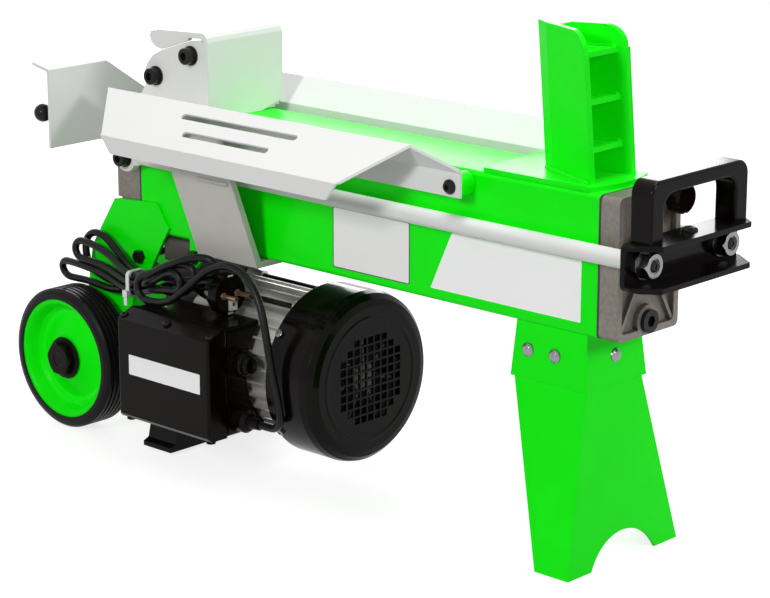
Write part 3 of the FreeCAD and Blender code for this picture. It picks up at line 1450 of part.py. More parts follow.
def through_bolt_y(x, z, half_span, radius):
    """Hexagon bolt across the machine with its nut on the far side."""
    shank = rod_y(radius, -half_span, half_span + 9.0, x, z)
    head = hexagon_y(13.0, -half_span - 5.5, -half_span, x, z)
    nut = hexagon_y(13.0, half_span, half_span + 6.5, x, z)
    return fused([shank, head, nut])


frame_bolts = both_sides([table_bolt()]) + [pivot_bolt()]
frame_bolts.append(through_bolt_y(bracket_bolt_x, bracket_bolt_z, half_beam + bracket_sheet, 4.0))
frame_bolts.append(through_bolt_y(lug_bolt_x, lug_bolt_z, half_beam + lug_sheet, 4.0))
save("frame_bolts", frame_bolts)


def bleed_knob():
    """Vent screw with a scalloped knob, in the upper far corner of the front cap."""
    y, z = bleed_y, bleed_z
    shank = rod_x(bleed_shank, cap_face - bleed_depth, cap_face + 4.0, y, z)
    knob = turned([(3.0, 0), (3.0, 13.0), (5.0, 15.0), (16.0, 15.0), (18.0, 12.5), (18.0, 0)],
                  cap_face, y, z, "x")
    for k in range(6):
        a = math.radians(60 * k + 30)
        groove = rod_x(4.0, cap_face + 3.0, cap_face + 18.0, y + 17.0 * math.cos(a), z + 17.0 * math.sin(a))
        knob = knob.cut(groove)
    return fused([shank, knob])


save("bleed_knob", bleed_knob())

# ---------------------------------------------------------------- mains cord, its hank, tie and plug
plug_cord_route = [
    (-184.0, -61.0, 183.0), (-196.0, -61.0, 183.0), (-209.0, -63.0, 181.5), (-221.0, -67.0, 179.5),
    (-234.0, -74.0, 176.5)]
cord_route = [
    (box_x1 + gland_length, gland_y, gland_z), (-38.5, gland_y, gland_z), (-27.5, -92.5, 80.0),
    (-25.5, -96.5, 105.0), (-30.0, -97.0, 134.0), (-36.5, -95.0, 162.0), (-45.5, -92.0, 190.0),
    (-61.5, -89.5, 212.0), (-85.0, -87.5, 222.5), (-109.0, -86.0, 221.0), (-129.0, -85.0, 211.5),
    (-144.0, -84.5, 199.0)]
tie_x = -252.0
tie_width = 4.8
tie_sheet = 1.4
hank_sections = [
    (-375.0, -64.0, 160.0, 6.0, 7.0), (-358.0, -64.0, 171.0, 9.5, 16.0), (-330.0, -64.0, 183.4, 9.5, 30.6),
    (-310.0, -65.0, 182.0, 9.5, 34.0), (-282.0, -69.0, 175.0, 10.5, 19.0),
    (tie_x - 7.0, -74.0, 175.0, 10.5, 12.5), (tie_x + 7.0, -75.0, 175.0, 10.5, 12.5),
    (-230.0, -80.0, 177.0, 10.5, 13.5), (-190.0, -85.0, 187.0, 10.0, 22.5), (-158.0, -85.5, 198.5, 9.5, 20.0),
    (-138.0, -85.5, 204.0, 6.0, 9.0)]
plug_face = V(-122.0, -61.0, motor_axis_z + 74.0)
plug_face_radius = 21.5
plug_length = 62.0
plug_pin_radius = 2.4
plug_pin_length = 19.0
plug_pin_spacing = 19.0


def cord_tube(route):
    """Round tube along straight runs joined by tangent arcs."""
    points = [V(*p) for p in route]
    edges = []
    start = points[0]
    length = 0.0
    radii = []
    for before, here, after in zip(points, points[1:], points[2:]):
        into = (here - before).normalize()
        out = (after - here).normalize()
        turn = math.acos(max(-1.0, min(1.0, into.dot(out))))
        reach = 0.45 * min((here - before).Length, (after - here).Length)
        radius = reach / math.tan(turn / 2)
        a, b = here - into * reach, here + out * reach
        centre_way = (out - into).normalize()
        middle = here + centre_way * (radius / math.cos(turn / 2) - radius)
        edges.append(Part.LineSegment(start, a).toShape())
        edges.append(Part.Arc(a, middle, b).toShape())
        length += (a - start).Length + radius * turn
        radii.append(round(radius, 1))
        start = b
    edges.append(Part.LineSegment(start, points[-1]).toShape())
    length += (points[-1] - start).Length
    section = Part.Wire(Part.Circle(points[0], points[1] - points[0], cord_radius).toShape())
    tube = Part.Wire(edges).makePipeShell([section], True, False)
    print("cord radii", radii, "length", round(length, 1), "volume share",
          round(tube.Volume / (math.pi * cord_radius ** 2 * length), 4))
    return tube


def octagon_section(x, y, z, half_y, half_z):
    c = 0.45 * min(half_y, half_z)
    corners = [(half_y - c, half_z), (half_y, half_z - c), (half_y, c - half_z), (half_y - c, -half_z),
               (c - half_y, -half_z), (-half_y, c - half_z), (-half_y, half_z - c), (c - half_y, half_z)]
    points = [V(x, y + a, z + b) for a, b in corners]
    return Part.makePolygon(points + [points[0]])


def cord_hank():
    """Outer shape of the bundled loops: two flat lobes gathered at the tie."""
    return Part.makeLoft([octagon_section(*s) for s in hank_sections], True, True)


def cord_tie(hank):
    """Nylon tie round the bundle, with its head and its tail."""
    x0, x1 = tie_x - tie_width / 2, tie_x + tie_width / 2
    y, z = -74.5, 175.0
    half_y, half_z = 10.5 + tie_sheet, 12.5 + tie_sheet
    band = box(x0, x1, y - half_y, y + half_y, z - half_z, z + half_z)
    band = rounded(band, 5.0, X)
    head = box(x0 - 1.0, x1 + 1.0, y - half_y - 4.0, y - half_y + 2.0, z - half_z + 1.0, z - half_z + 8.0)
    tail = cross_plate([(y - half_y - 3.0, z - half_z + 1.5), (y - half_y - 3.0, z - half_z - 8.0),
                        (y - half_y - 1.5, z - half_z - 8.0), (y - half_y - 1.5, z - half_z + 1.5)], x0, x1)
    return fused([band, head, tail]).cut(hank)


def plug():
    """Round two-pin plug along X: earth strips above and below, tapered body and strain relief."""
    r, length = plug_face_radius, plug_length
    at = (plug_face.x, plug_face.y, plug_face.z)
    body = turned([(0, 0), (0, r - 1.0), (-1.0, r), (-11.0, r), (-26.0, 12.5), (-38.0, 10.0), (-40.0, 7.5),
                   (-length, cord_radius + 1.2), (-length, 0)], at[0], at[1], at[2], "x")
    strips = []
    for s in (-1, 1):
        z0, z1 = sorted((at[2] + s * (r - 3.0), at[2] + s * (r - 0.8)))
        strips.append(box(at[0] - 9.0, at[0], at[1] - 3.5, at[1] + 3.5, z0, z1))
    body = body.cut(fused(strips))
    pins = []
    for s in (-1, 1):
        profile = [(-4.0, 0), (-4.0, plug_pin_radius), (plug_pin_length - 1.5, plug_pin_radius),
                   (plug_pin_length, 1.2), (plug_pin_length, 0)]
        pins.append(turned(profile, at[0], at[1] + s * plug_pin_spacing / 2, at[2], "x"))
    return [body.cut(fused(pins))] + strips + pins


plug_pieces = plug()
hank = cord_hank().cut(fused(plug_pieces))
save("mains_cord", [cord_tube(cord_route).cut(hank), cord_tube(plug_cord_route).cut(hank)])
save("cord_hank", hank)
save("cord_tie", cord_tie(hank))
save("mains_plug", plug_pieces)
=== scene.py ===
# %% [markdown]
# # Log splitter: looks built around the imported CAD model
# The steel, castings, wheels and motor come from the CAD frame, so this file
# gives them finishes and adds what sheet metal drawings leave out: the flexible
# mains lead, labels, weld beads and small fittings. Places are in the frame of
# the CAD model: +X runs along the beam to the handle, +Z is up. Blender works in
# metres, while sizes here are written in millimetres and multiplied by MM.

import json
import math

import bpy
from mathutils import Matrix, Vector


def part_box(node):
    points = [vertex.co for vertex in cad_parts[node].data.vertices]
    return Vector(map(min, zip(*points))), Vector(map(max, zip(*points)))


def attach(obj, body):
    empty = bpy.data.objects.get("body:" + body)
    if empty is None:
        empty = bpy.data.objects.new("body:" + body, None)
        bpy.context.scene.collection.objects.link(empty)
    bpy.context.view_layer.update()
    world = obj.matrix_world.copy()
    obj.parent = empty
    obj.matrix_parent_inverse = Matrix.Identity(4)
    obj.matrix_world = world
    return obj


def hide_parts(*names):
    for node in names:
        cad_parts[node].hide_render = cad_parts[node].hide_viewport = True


MM = 0.001
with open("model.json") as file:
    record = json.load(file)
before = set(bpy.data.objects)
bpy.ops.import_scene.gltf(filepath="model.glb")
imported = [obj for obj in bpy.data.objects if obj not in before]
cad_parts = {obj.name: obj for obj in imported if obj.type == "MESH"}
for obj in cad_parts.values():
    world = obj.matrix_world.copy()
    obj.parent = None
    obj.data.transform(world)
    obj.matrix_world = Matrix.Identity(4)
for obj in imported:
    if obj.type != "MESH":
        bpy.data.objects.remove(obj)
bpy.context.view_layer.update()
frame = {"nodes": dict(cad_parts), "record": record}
nodes = frame["nodes"]

# %% [markdown]
# ## Camera
# The machine is looked at from its control box side, a little above the beam and
# from in front of the handle. A long lens keeps the far end from shrinking. The
# camera is aimed along the line from its place to a target, because a direction
# turned into a quaternion needs no angles worked out by hand.

# %% Camera
camera_place = Vector((1.74124, -1.82079, 0.87261))
camera_target = Vector((0.03658, 0.0, 0.19570))
camera_data = bpy.data.cameras.new("camera")
camera_data.lens = 121.56
camera_data.sensor_width = 36.0
camera = bpy.data.objects.new("camera", camera_data)
camera.location = camera_place
camera.rotation_mode = "QUATERNION"
camera.rotation_quaternion = (camera_target - camera_place).to_track_quat("-Z", "Y")
bpy.context.scene.collection.objects.link(camera)
bpy.context.scene.camera = camera
print("camera distance:", round((camera_target - camera_place).length, 3))

# %% [markdown]
# ## The mains lead
# The lead is one length of rubber cable. It leaves the gland low on the control
# box, climbs beside the motor, makes three long turns that a cable tie gathers,
# and ends in its plug. A cable has one smooth centre line, so it is one NURBS
# spline: the points pull the line without sitting on it. Six strands pass the
# tie, a little over a diameter apart, and each fold at a turn's end is hard,
# with a radius of about one diameter.

# %% Route of the lead
CORD_DIAMETER = 0.008
gland_run = [
    (-54.8, -86, 64), (-45, -86, 64), (-34, -86.5, 64.5), (-23.5, -88.5, 72), (-20, -92.5, 88),
    (-21.5, -96, 108), (-28, -97, 134), (-35.5, -95, 162), (-45.5, -92, 190), (-61.5, -89.5, 212),
    (-85, -87.5, 222.5), (-109, -86.5, 221), (-129, -88, 212), (-144, -90, 199)]
near_loop = [
    (-158, -94, 186), (-172, -95.8, 174.8), (-187, -95, 169), (-198, -95, 167.5),
    (-208, -95, 167), (-218.3, -95, 167.3), (-226, -95, 175), (-226, -94.7, 185.3),
    (-218.5, -94.3, 192.8), (-209, -93.8, 195.8), (-200, -93.4, 200), (-191, -93.2, 205),
    (-178, -92.3, 211), (-162, -90.3, 218), (-147, -86.5, 222.3), (-138.5, -83.8, 223),
    (-130.5, -81.3, 222.6),
    (-125, -79, 217.3), (-125, -76.8, 210), (-130.5, -75.4, 205), (-140, -74.8, 203),
    (-152, -73.8, 198.5), (-170, -73.6, 191.5),
    (-190, -74, 189), (-210, -73.5, 188), (-230, -71.5, 186), (-242, -70, 184.3),
    (-252, -69.7, 183.6)]
high_left_loop = [
    (-263, -68.3, 184.3), (-276, -64.8, 188), (-291, -61.5, 196), (-306, -60, 205),
    (-318, -60, 212), (-330, -60, 214), (-341, -60, 210), (-347.5, -60, 201.5),
    (-348, -60, 190), (-345, -60, 180), (-336, -60, 171.5), (-322, -60, 167),
    (-305, -60.5, 164), (-289, -62.5, 166.8), (-274, -66.5, 171.5), (-263, -69, 174),
    (-252, -69.7, 175)]
far_right_loop = [
    (-241, -70.5, 175), (-227, -73.5, 175), (-211, -75, 174.5), (-195, -77, 175),
    (-179, -80.3, 177.8), (-165, -81.5, 182.2), (-155, -82.8, 192), (-151, -82.8, 201),
    (-155, -82.8, 209.5), (-164, -82.8, 211.5), (-178, -83.2, 209), (-196, -83.4, 201.5),
    (-213, -83.4, 195), (-229, -82.5, 189.3), (-241, -79.8, 185.2), (-252, -78.3, 183.6)]
folded_left_loop = [
    (-263, -77.5, 184.5), (-276, -74.3, 187.5), (-291, -70.7, 192.5), (-306, -68.8, 197.5),
    (-322, -68.5, 201.5), (-337, -68.5, 203.7), (-349, -68.5, 203.2), (-354.8, -68.5, 197.4),
    (-354.8, -68.5, 190), (-349, -68.5, 184.2), (-338, -68.5, 183.8), (-319, -68.5, 183),
    (-305, -69, 181.3), (-290, -71, 178.7), (-275, -74.5, 176), (-263, -77.5, 175),
    (-252, -78.3, 175)]
inner_right_loop = [
    (-241, -80.3, 176), (-228, -84.2, 179.5), (-213, -87.2, 185.2), (-199, -88.5, 192.3),
    (-188, -89, 198.8), (-179, -89.3, 201.5), (-171.5, -89.4, 201.6), (-165.9, -89.2, 196),
    (-165.9, -89, 188.4), (-171.5, -88.6, 182.9), (-182, -88.4, 181.6), (-197, -86.8, 179.3),
    (-213, -85, 175.5), (-229, -82, 170.5), (-242, -79, 167), (-252, -78.3, 166.4)]
low_left_loop = [
    (-263, -77.8, 166.3), (-276, -74.7, 167), (-291, -71.5, 169.5), (-306, -69.5, 172.3),
    (-321, -68.5, 174.3), (-336, -68.5, 175.7), (-350, -68.3, 176.6), (-363, -67.8, 176.8),
    (-375, -67, 176.4), (-380.6, -66, 171), (-380.6, -64.6, 163.7), (-375, -63.2, 158.2),
    (-364, -61.8, 157.6), (-345, -60.3, 158), (-325, -60, 156), (-307, -60.5, 155),
    (-290, -63, 157.8), (-275, -66.5, 162), (-263, -68.9, 165.3), (-252, -69.7, 166.4)]
plug_run = [
    (-241, -68.5, 166.6), (-229, -65.5, 169.8), (-218, -62.8, 175.5), (-207, -61, 181),
    (-196, -61, 183), (-184, -61, 183)]
cord_route = (gland_run + near_loop + high_left_loop + far_right_loop + folded_left_loop
              + inner_right_loop + low_left_loop + plug_run)
print("points on the lead:", len(cord_route))

# %% The lead as one spline
cord_curve = bpy.data.curves.new("mains_lead", "CURVE")
cord_curve.dimensions = "3D"
cord_curve.bevel_depth = 1.0
cord_curve.bevel_resolution = 5
cord_curve.resolution_u = 12
cord_curve.use_fill_caps = True
spline = cord_curve.splines.new("NURBS")
spline.points.add(len(cord_route) - 1)
for point, place in zip(spline.points, cord_route):
    point.co = (*(Vector(place) * MM), 1.0)
    point.radius = CORD_DIAMETER / 2
spline.order_u = 3
spline.use_endpoint_u = True
mains_lead = bpy.data.objects.new("mains_lead", cord_curve)
bpy.context.scene.collection.objects.link(mains_lead)
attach(mains_lead, "frame")
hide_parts("mains_cord", "cord_hank")

# %% [markdown]
# ## Effects that finishes share
# Paint, plastic, castings and rubber all need a little relief, some unevenness in
# the gloss, dust where it settles and softened edges. Each effect could be drawn
# anew in every material, but then one change would have to be made twenty times.
# So each is built once as a node group with named inputs. The groups put out
# masks, heights and normals only, and each material keeps its own shader.

# %% Helpers
def deselect():
    """Operators act on all that is selected, so each piece starts from nothing."""
    for chosen in bpy.context.selected_objects:
        chosen.select_set(False)


def new_group(name, inputs, outputs):
    """Node group with (name, kind, default) inputs and (name, kind) outputs."""
    group = bpy.data.node_groups.new(name, "ShaderNodeTree")
    for label, kind, default in inputs:
        socket = group.interface.new_socket(label, in_out="INPUT", socket_type=kind)
        socket.default_value = default
    for label, kind in outputs:
        group.interface.new_socket(label, in_out="OUTPUT", socket_type=kind)
    first = group.nodes.new("NodeGroupInput")
    last = group.nodes.new("NodeGroupOutput")
    return group, first, last


def put(tree, kind, settings=None, **values):
    """Adds a node, sets its options and its unlinked inputs."""
    node = tree.nodes.new(kind)
    for key, value in (settings or {}).items():
        setattr(node, key, value)
    for key, value in values.items():
        node.inputs[key.replace("_", " ")].default_value = value
    return node


FLOAT = "NodeSocketFloat"
VECTOR = "NodeSocketVector"


# %% [markdown]
# ### Soft edges, grain and dust
# Bevel bends the normal near an edge, so edges look broken by hand with no new
# faces. Where the bent normal and the true one disagree there is an edge, and
# noise picks the spots that take an edge colour: wear on most finishes, a painted
# highlight on the green paint and the strap. Grain is fine noise for relief and
# broad noise for clouds. Dust needs a face that looks up and a patch of noise.

# %% Soft edges, edge wear and painted edge highlight
edges_group, into, out = new_group(
    "edges", [("Radius", FLOAT, 0.0006), ("Patchiness", FLOAT, 60.0)],
    [("Normal", VECTOR), ("Wear and Highlight", FLOAT)])
tree = edges_group
rounding = put(tree, "ShaderNodeBevel", {"samples": 6})
tree.links.new(into.outputs["Radius"], rounding.inputs["Radius"])
geometry = put(tree, "ShaderNodeNewGeometry")
agreement = put(tree, "ShaderNodeVectorMath", {"operation": "DOT_PRODUCT"})
tree.links.new(rounding.outputs["Normal"], agreement.inputs[0])
tree.links.new(geometry.outputs["Normal"], agreement.inputs[1])
at_edge = put(tree, "ShaderNodeMapRange", From_Min=0.98, From_Max=0.80)
tree.links.new(agreement.outputs["Value"], at_edge.inputs["Value"])
places = put(tree, "ShaderNodeTexCoord")
patches = put(tree, "ShaderNodeTexNoise", Detail=4.0)
tree.links.new(places.outputs["Object"], patches.inputs["Vector"])
tree.links.new(into.outputs["Patchiness"], patches.inputs["Scale"])
edge_patches = put(tree, "ShaderNodeMapRange", From_Min=0.52, From_Max=0.68)
tree.links.new(patches.outputs["Fac"], edge_patches.inputs["Value"])
# The edge patches carry wear on most finishes and a painted highlight on the green paint and the
# strap.
wear_and_highlight_mask = put(tree, "ShaderNodeMath", {"operation": "MULTIPLY"})
tree.links.new(at_edge.outputs["Result"], wear_and_highlight_mask.inputs[0])
tree.links.new(edge_patches.outputs["Result"], wear_and_highlight_mask.inputs[1])
tree.links.new(rounding.outputs["Normal"], out.inputs["Normal"])
tree.links.new(wear_and_highlight_mask.outputs["Value"], out.inputs["Wear and Highlight"])
print("group:", edges_group.name)

# %% Grain: fine relief and uneven gloss
grain_group, into, out = new_group(
    "grain",
    [("Scale", FLOAT, 400.0), ("Coarse Scale", FLOAT, 20.0), ("Stretch", VECTOR, (1, 1, 1))],
    [("Height", FLOAT), ("Cloud", FLOAT)])
tree = grain_group
places = put(tree, "ShaderNodeTexCoord")
stretch = put(tree, "ShaderNodeVectorMath", {"operation": "MULTIPLY"})
tree.links.new(places.outputs["Object"], stretch.inputs[0])
tree.links.new(into.outputs["Stretch"], stretch.inputs[1])
fine = put(tree, "ShaderNodeTexNoise", Detail=3.0, Roughness=0.6)
tree.links.new(stretch.outputs["Vector"], fine.inputs["Vector"])
tree.links.new(into.outputs["Scale"], fine.inputs["Scale"])
broad = put(tree, "ShaderNodeTexNoise", Detail=5.0, Roughness=0.55)
tree.links.new(places.outputs["Object"], broad.inputs["Vector"])
tree.links.new(into.outputs["Coarse Scale"], broad.inputs["Scale"])
tree.links.new(fine.outputs["Fac"], out.inputs["Height"])
tree.links.new(broad.outputs["Fac"], out.inputs["Cloud"])
print("group:", grain_group.name)

# %% Dust that lies on what faces up
dust_group, into, out = new_group(
    "dust", [("Scale", FLOAT, 35.0)], [("Mask", FLOAT)])
tree = dust_group
geometry = put(tree, "ShaderNodeNewGeometry")
split = put(tree, "ShaderNodeSeparateXYZ")
tree.links.new(geometry.outputs["Normal"], split.inputs["Vector"])
upward = put(tree, "ShaderNodeMapRange", From_Min=0.35, From_Max=1.0)
tree.links.new(split.outputs["Z"], upward.inputs["Value"])
places = put(tree, "ShaderNodeTexCoord")
specks = put(tree, "ShaderNodeTexNoise", Detail=8.0, Roughness=0.75)
tree.links.new(places.outputs["Object"], specks.inputs["Vector"])
tree.links.new(into.outputs["Scale"], specks.inputs["Scale"])
settled = put(tree, "ShaderNodeMapRange", From_Min=0.42, From_Max=0.75)
tree.links.new(specks.outputs["Fac"], settled.inputs["Value"])
lying = put(tree, "ShaderNodeMath", {"operation": "MULTIPLY"})
tree.links.new(upward.outputs["Result"], lying.inputs[0])
tree.links.new(settled.outputs["Result"], lying.inputs[1])
tree.links.new(lying.outputs["Value"], out.inputs["Mask"])
print("group:", dust_group.name)

# %% [markdown]
# ## Finishes
# Every finish is a Principled shader fed by those groups. Its constants, such as
# metal or coat, are set on the shader itself. A finish differs from the next in
# its colour, its gloss, how deep and how wide its grain is, how much its upper
# faces have aged, and the colour of its edges: wear on most finishes, a painted
# highlight on the green paint and the strap.

# %% One maker for all solid finishes
DUST_COLOUR = (0.55, 0.53, 0.50)


def finish(name, colour, rough, metallic=0.0, coat=0.0, coat_rough=0.1, grain=400.0,
           relief=0.1, depth=0.0002, stretch=(1, 1, 1), cloud=0.1, cloud_scale=20.0,
           rough_spread=0.08, edge=0.0006, edge_wear_and_highlight=0.0, wear_and_highlight_colour=(0.3, 0.3, 0.3), dust=0.05,
           specular=0.5):
    """Procedural material: colour clouds, grain relief, soft edges with an edge colour (wear, on
    the green paint and the strap a painted highlight) and dust.
    """
    material = bpy.data.materials.new(name)
    material.use_nodes = True
    tree = material.node_tree
    shader = tree.nodes["Principled BSDF"]
    shader.inputs["Metallic"].default_value = metallic
    shader.inputs["Coat Weight"].default_value = coat
    shader.inputs["Coat Roughness"].default_value = coat_rough
    shader.inputs["Specular IOR Level"].default_value = specular
    skin = put(tree, "ShaderNodeGroup", {"node_tree": grain_group}, Scale=grain,
               Coarse_Scale=cloud_scale, Stretch=stretch)
    rim = put(tree, "ShaderNodeGroup", {"node_tree": edges_group}, Radius=edge)
    film = put(tree, "ShaderNodeGroup", {"node_tree": dust_group})
    shades = put(tree, "ShaderNodeMix", {"data_type": "RGBA"})
    dark = tuple(c * (1 - cloud) for c in colour)
    light = tuple(min(1.0, c * (1 + cloud)) for c in colour)
    shades.inputs["A"].default_value = (*dark, 1)
    shades.inputs["B"].default_value = (*light, 1)
    tree.links.new(skin.outputs["Cloud"], shades.inputs["Factor"])
    last = shades
    # Edge patches get the edge colour, which is wear on most finishes and a painted highlight on
    # the green paint and the strap. Upper faces get dust.
    for source, mask, strength, tint in ((rim, "Wear and Highlight", edge_wear_and_highlight, wear_and_highlight_colour),
                                         (film, "Mask", dust, DUST_COLOUR)):
        if strength:
            amount = put(tree, "ShaderNodeMath", {"operation": "MULTIPLY"})
            amount.inputs[1].default_value = strength
            tree.links.new(source.outputs[mask], amount.inputs[0])
            layer = put(tree, "ShaderNodeMix", {"data_type": "RGBA"})
            layer.inputs["B"].default_value = (*tint, 1)
            tree.links.new(amount.outputs["Value"], layer.inputs["Factor"])
            tree.links.new(last.outputs["Result"], layer.inputs["A"])
            last = layer
    tree.links.new(last.outputs["Result"], shader.inputs["Base Color"])
    gloss = put(tree, "ShaderNodeMapRange", To_Min=rough - rough_spread,
                To_Max=rough + rough_spread)
    tree.links.new(skin.outputs["Cloud"], gloss.inputs["Value"])
    tree.links.new(gloss.outputs["Result"], shader.inputs["Roughness"])
    bump = put(tree, "ShaderNodeBump", Strength=relief, Distance=depth)
    tree.links.new(skin.outputs["Height"], bump.inputs["Height"])
    tree.links.new(rim.outputs["Normal"], bump.inputs["Normal"])
    tree.links.new(bump.outputs["Normal"], shader.inputs["Normal"])
    return material


# %% Paints and powder coat
GREEN = (0.003, 0.90, 0.003)
# The green paint's edges are drawn lighter where noise picks them: a painted highlight where the
# edges catch the light.
GREEN_EDGE_HIGHLIGHT = (0.35, 0.95, 0.30)
finishes = {
    "green_paint": finish(
        "green gloss paint", GREEN, 0.34, coat=0.05, coat_rough=0.10, specular=0.09, grain=260,
        relief=0.18, cloud=0.06, edge_wear_and_highlight=0.25, wear_and_highlight_colour=GREEN_EDGE_HIGHLIGHT, dust=0.04),
    "white_paint": finish(
        "off-white powder coat", (0.74, 0.745, 0.735), 0.42, grain=900, specular=0.22,
        relief=0.22, cloud=0.03, cloud_scale=9, edge_wear_and_highlight=0.2, wear_and_highlight_colour=(0.45, 0.44, 0.42),
        dust=0.04),
    "black_paint": finish(
        "black gloss paint", (0.0030, 0.0020, 0.0017), 0.20, coat=0.10, specular=0.05,
        coat_rough=0.06, grain=320, relief=0.16, edge_wear_and_highlight=0.3, wear_and_highlight_colour=(0.09, 0.09, 0.09),
        dust=0.02),
}
print("finishes:", len(finishes))

# %% Castings, steels and other metals
finishes.update({
    "cast_alloy": finish(
        "raw cast aluminium", (0.19, 0.172, 0.150), 0.46, metallic=0.6, grain=900, relief=0.9,
        depth=0.0007, cloud=0.45, cloud_scale=260, edge_wear_and_highlight=0.4, wear_and_highlight_colour=(0.55, 0.54, 0.52),
        dust=0.05),
    "pump_casting": finish(
        "dark pump casting", (0.055, 0.045, 0.038), 0.5, metallic=0.4, grain=600, relief=0.6,
        depth=0.0005, cloud=0.25, cloud_scale=50),
    "machined_steel": finish(
        "turned steel", (0.50, 0.51, 0.52), 0.28, metallic=1.0, grain=300, relief=0.12,
        stretch=(8, 1, 1), cloud=0.08),
    "zinc_steel": finish(
        "zinc plated steel", (0.25, 0.255, 0.26), 0.20, metallic=1.0, grain=500, relief=0.15,
        cloud=0.15, cloud_scale=90, edge=0.0003),
    "black_steel": finish(
        "black oxide steel", (0.010, 0.009, 0.009), 0.26, specular=0.16, grain=700, relief=0.2,
        edge_wear_and_highlight=0.35, wear_and_highlight_colour=(0.16, 0.16, 0.16), edge=0.0003),
    "stator_alloy": finish(
        "satin extruded aluminium", (0.60, 0.59, 0.565), 0.40, metallic=0.75, grain=300,
        relief=0.15, stretch=(1, 8, 8), cloud=0.1),
    "bush_brass": finish("turned bronze", (0.50, 0.36, 0.14), 0.3, metallic=1.0),
    "chromed_rod": finish(
        "chromed rod", (0.70, 0.71, 0.73), 0.08, metallic=1.0, relief=0.02, rough_spread=0.02),
})
print("finishes:", len(finishes))

# %% Plastics and rubbers
finishes.update({
    "black_plastic": finish(
        "black moulded plastic", (0.0040, 0.0024, 0.0019), 0.20, specular=0.05, coat=0.06,
        coat_rough=0.06, grain=800, relief=0.12, cloud=0.1, dust=0.02),
    "green_plastic": finish(
        "green moulded plastic", (0.003, 0.93, 0.003), 0.32, specular=0.07, grain=300,
        relief=0.08, cloud=0.05, edge=0.0009),
    "tyre_rubber": finish(
        "tyre rubber", (0.0070, 0.0062, 0.0066), 0.36, specular=0.1, grain=500, relief=0.25,
        cloud=0.15, dust=0.06, rough_spread=0.06),
    "cord_rubber": finish(
        "cord rubber", (0.0060, 0.0055, 0.0062), 0.30, specular=0.16, grain=900, relief=0.2,
        cloud=0.2, cloud_scale=40, dust=0.04),
    "gasket_rubber": finish("gasket rubber", (0.02, 0.02, 0.02), 0.6),
    "tie_nylon": finish(
        "white nylon", (0.78, 0.78, 0.76), 0.38, grain=300, relief=0.08, cloud=0.03,
        edge=0.0003),
})
print("finishes:", len(finishes))

# %% Finishes on the CAD nodes
slot_of = {part["node"]: part["material_slot"] for part in frame["record"]["subparts"]}
# The strap wears the table's white powder coat, painted darker as shade because it faces down and
# away from the lamps. Its near-white edge colour is a painted highlight along its edges.
strap_shade_and_highlight = finish(
    "strap paint with painted shade and highlight", (0.56, 0.545, 0.51), 0.45, specular=0.2, grain=700, relief=0.25,
    cloud=0.16, cloud_scale=11, edge=0.0012, edge_wear_and_highlight=0.9, wear_and_highlight_colour=(0.86, 0.86, 0.84), dust=0.05)
fan_finish = finish(
    "grey moulded fan", (0.13, 0.13, 0.135), 0.35, specular=0.4, grain=600, relief=0.1)
special = {"table_strap": strap_shade_and_highlight, "cooling_fan": fan_finish}
for name, node in nodes.items():
    for place in node.material_slots:
        place.material = special.get(name, finishes[slot_of[name]])
cord_curve.materials.append(finishes["cord_rubber"])
print("nodes with a finish:", len(slot_of))

# %% [markdown]
# ## Labels
# Two stickers and a foil plate are stuck on the beam and on the control box. They
# carry nothing here. A label is a plane turned to face the -Y side. Its corners
# are moved one by one, because the sticker on the beam has a slanting end, and
# rounded with a vertex bevel. An extrude gives it the thickness of foil, and an
# inset sets off its edge.

# %% Helpers that shape a piece in edit mode
def start_piece(name):
    """Names the new primitive and puts its place and turn into its mesh."""
    piece = bpy.context.active_object
    piece.name = name
    bpy.ops.object.transform_apply(location=True, rotation=True, scale=True)
    return piece


def choose(piece, wanted, kind="FACE"):
    """Selects in edit mode the faces, edges or vertices that wanted(element) accepts."""
    bpy.ops.object.mode_set(mode="EDIT")
    bpy.ops.mesh.select_mode(type=kind)
    bpy.ops.mesh.select_all(action="DESELECT")
    bpy.ops.object.mode_set(mode="OBJECT")
    mesh = piece.data
    elements = {"FACE": mesh.polygons, "EDGE": mesh.edges, "VERT": mesh.vertices}[kind]
    for element in elements:
        element.select = bool(wanted(element))
    bpy.ops.object.mode_set(mode="EDIT")


def end_piece(piece, body, slot, smooth=35):
    """Closes edit mode, sets the finish and the body that the piece rides on."""
    bpy.ops.mesh.select_all(action="SELECT")
    bpy.ops.mesh.normals_make_consistent(inside=False)
    bpy.ops.object.mode_set(mode="OBJECT")
    bpy.ops.object.shade_smooth_by_angle(angle=math.radians(smooth))
    part_slot, material = extras[slot] if slot in extras else (slot, finishes[slot])
    piece.data.materials.clear()
    piece.data.materials.append(material)
    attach(piece, body)


# %% Materials of labels and plug, each with the slot that it belongs to
extras = {
    "bare_foil": ("stator_alloy", finish(
        "label foil", (0.78, 0.78, 0.765), 0.40, metallic=0.2, grain=1400, relief=0.06,
        stretch=(1, 1, 14), cloud=0.04, edge=0.0001)),
    "bare_sticker": ("white_paint", finish(
        "vinyl sticker", (0.95, 0.95, 0.95), 0.36, grain=1200, relief=0.05, cloud=0.02,
        edge=0.0001, specular=0.3)),
    "bright_contact": ("zinc_steel", finish(
        "bright plug contact", (0.80, 0.79, 0.75), 0.30, metallic=0.45, grain=900, relief=0.06,
        cloud=0.05, edge=0.0002)),
    "dull_brass": ("bush_brass", finish(
        "dull brass pin", (0.34, 0.22, 0.15), 0.32, metallic=0.8, grain=700, relief=0.08,
        stretch=(1, 6, 6), cloud=0.2, edge=0.0002)),
    "foil_edge": ("black_paint", finish(
        "label border", (0.02, 0.02, 0.025), 0.4, grain=1200, relief=0.05)),
}
print("materials of labels and plug:", len(extras))


# %% One label from its four corners
FOIL = 0.35
PRESSED_IN = 0.08


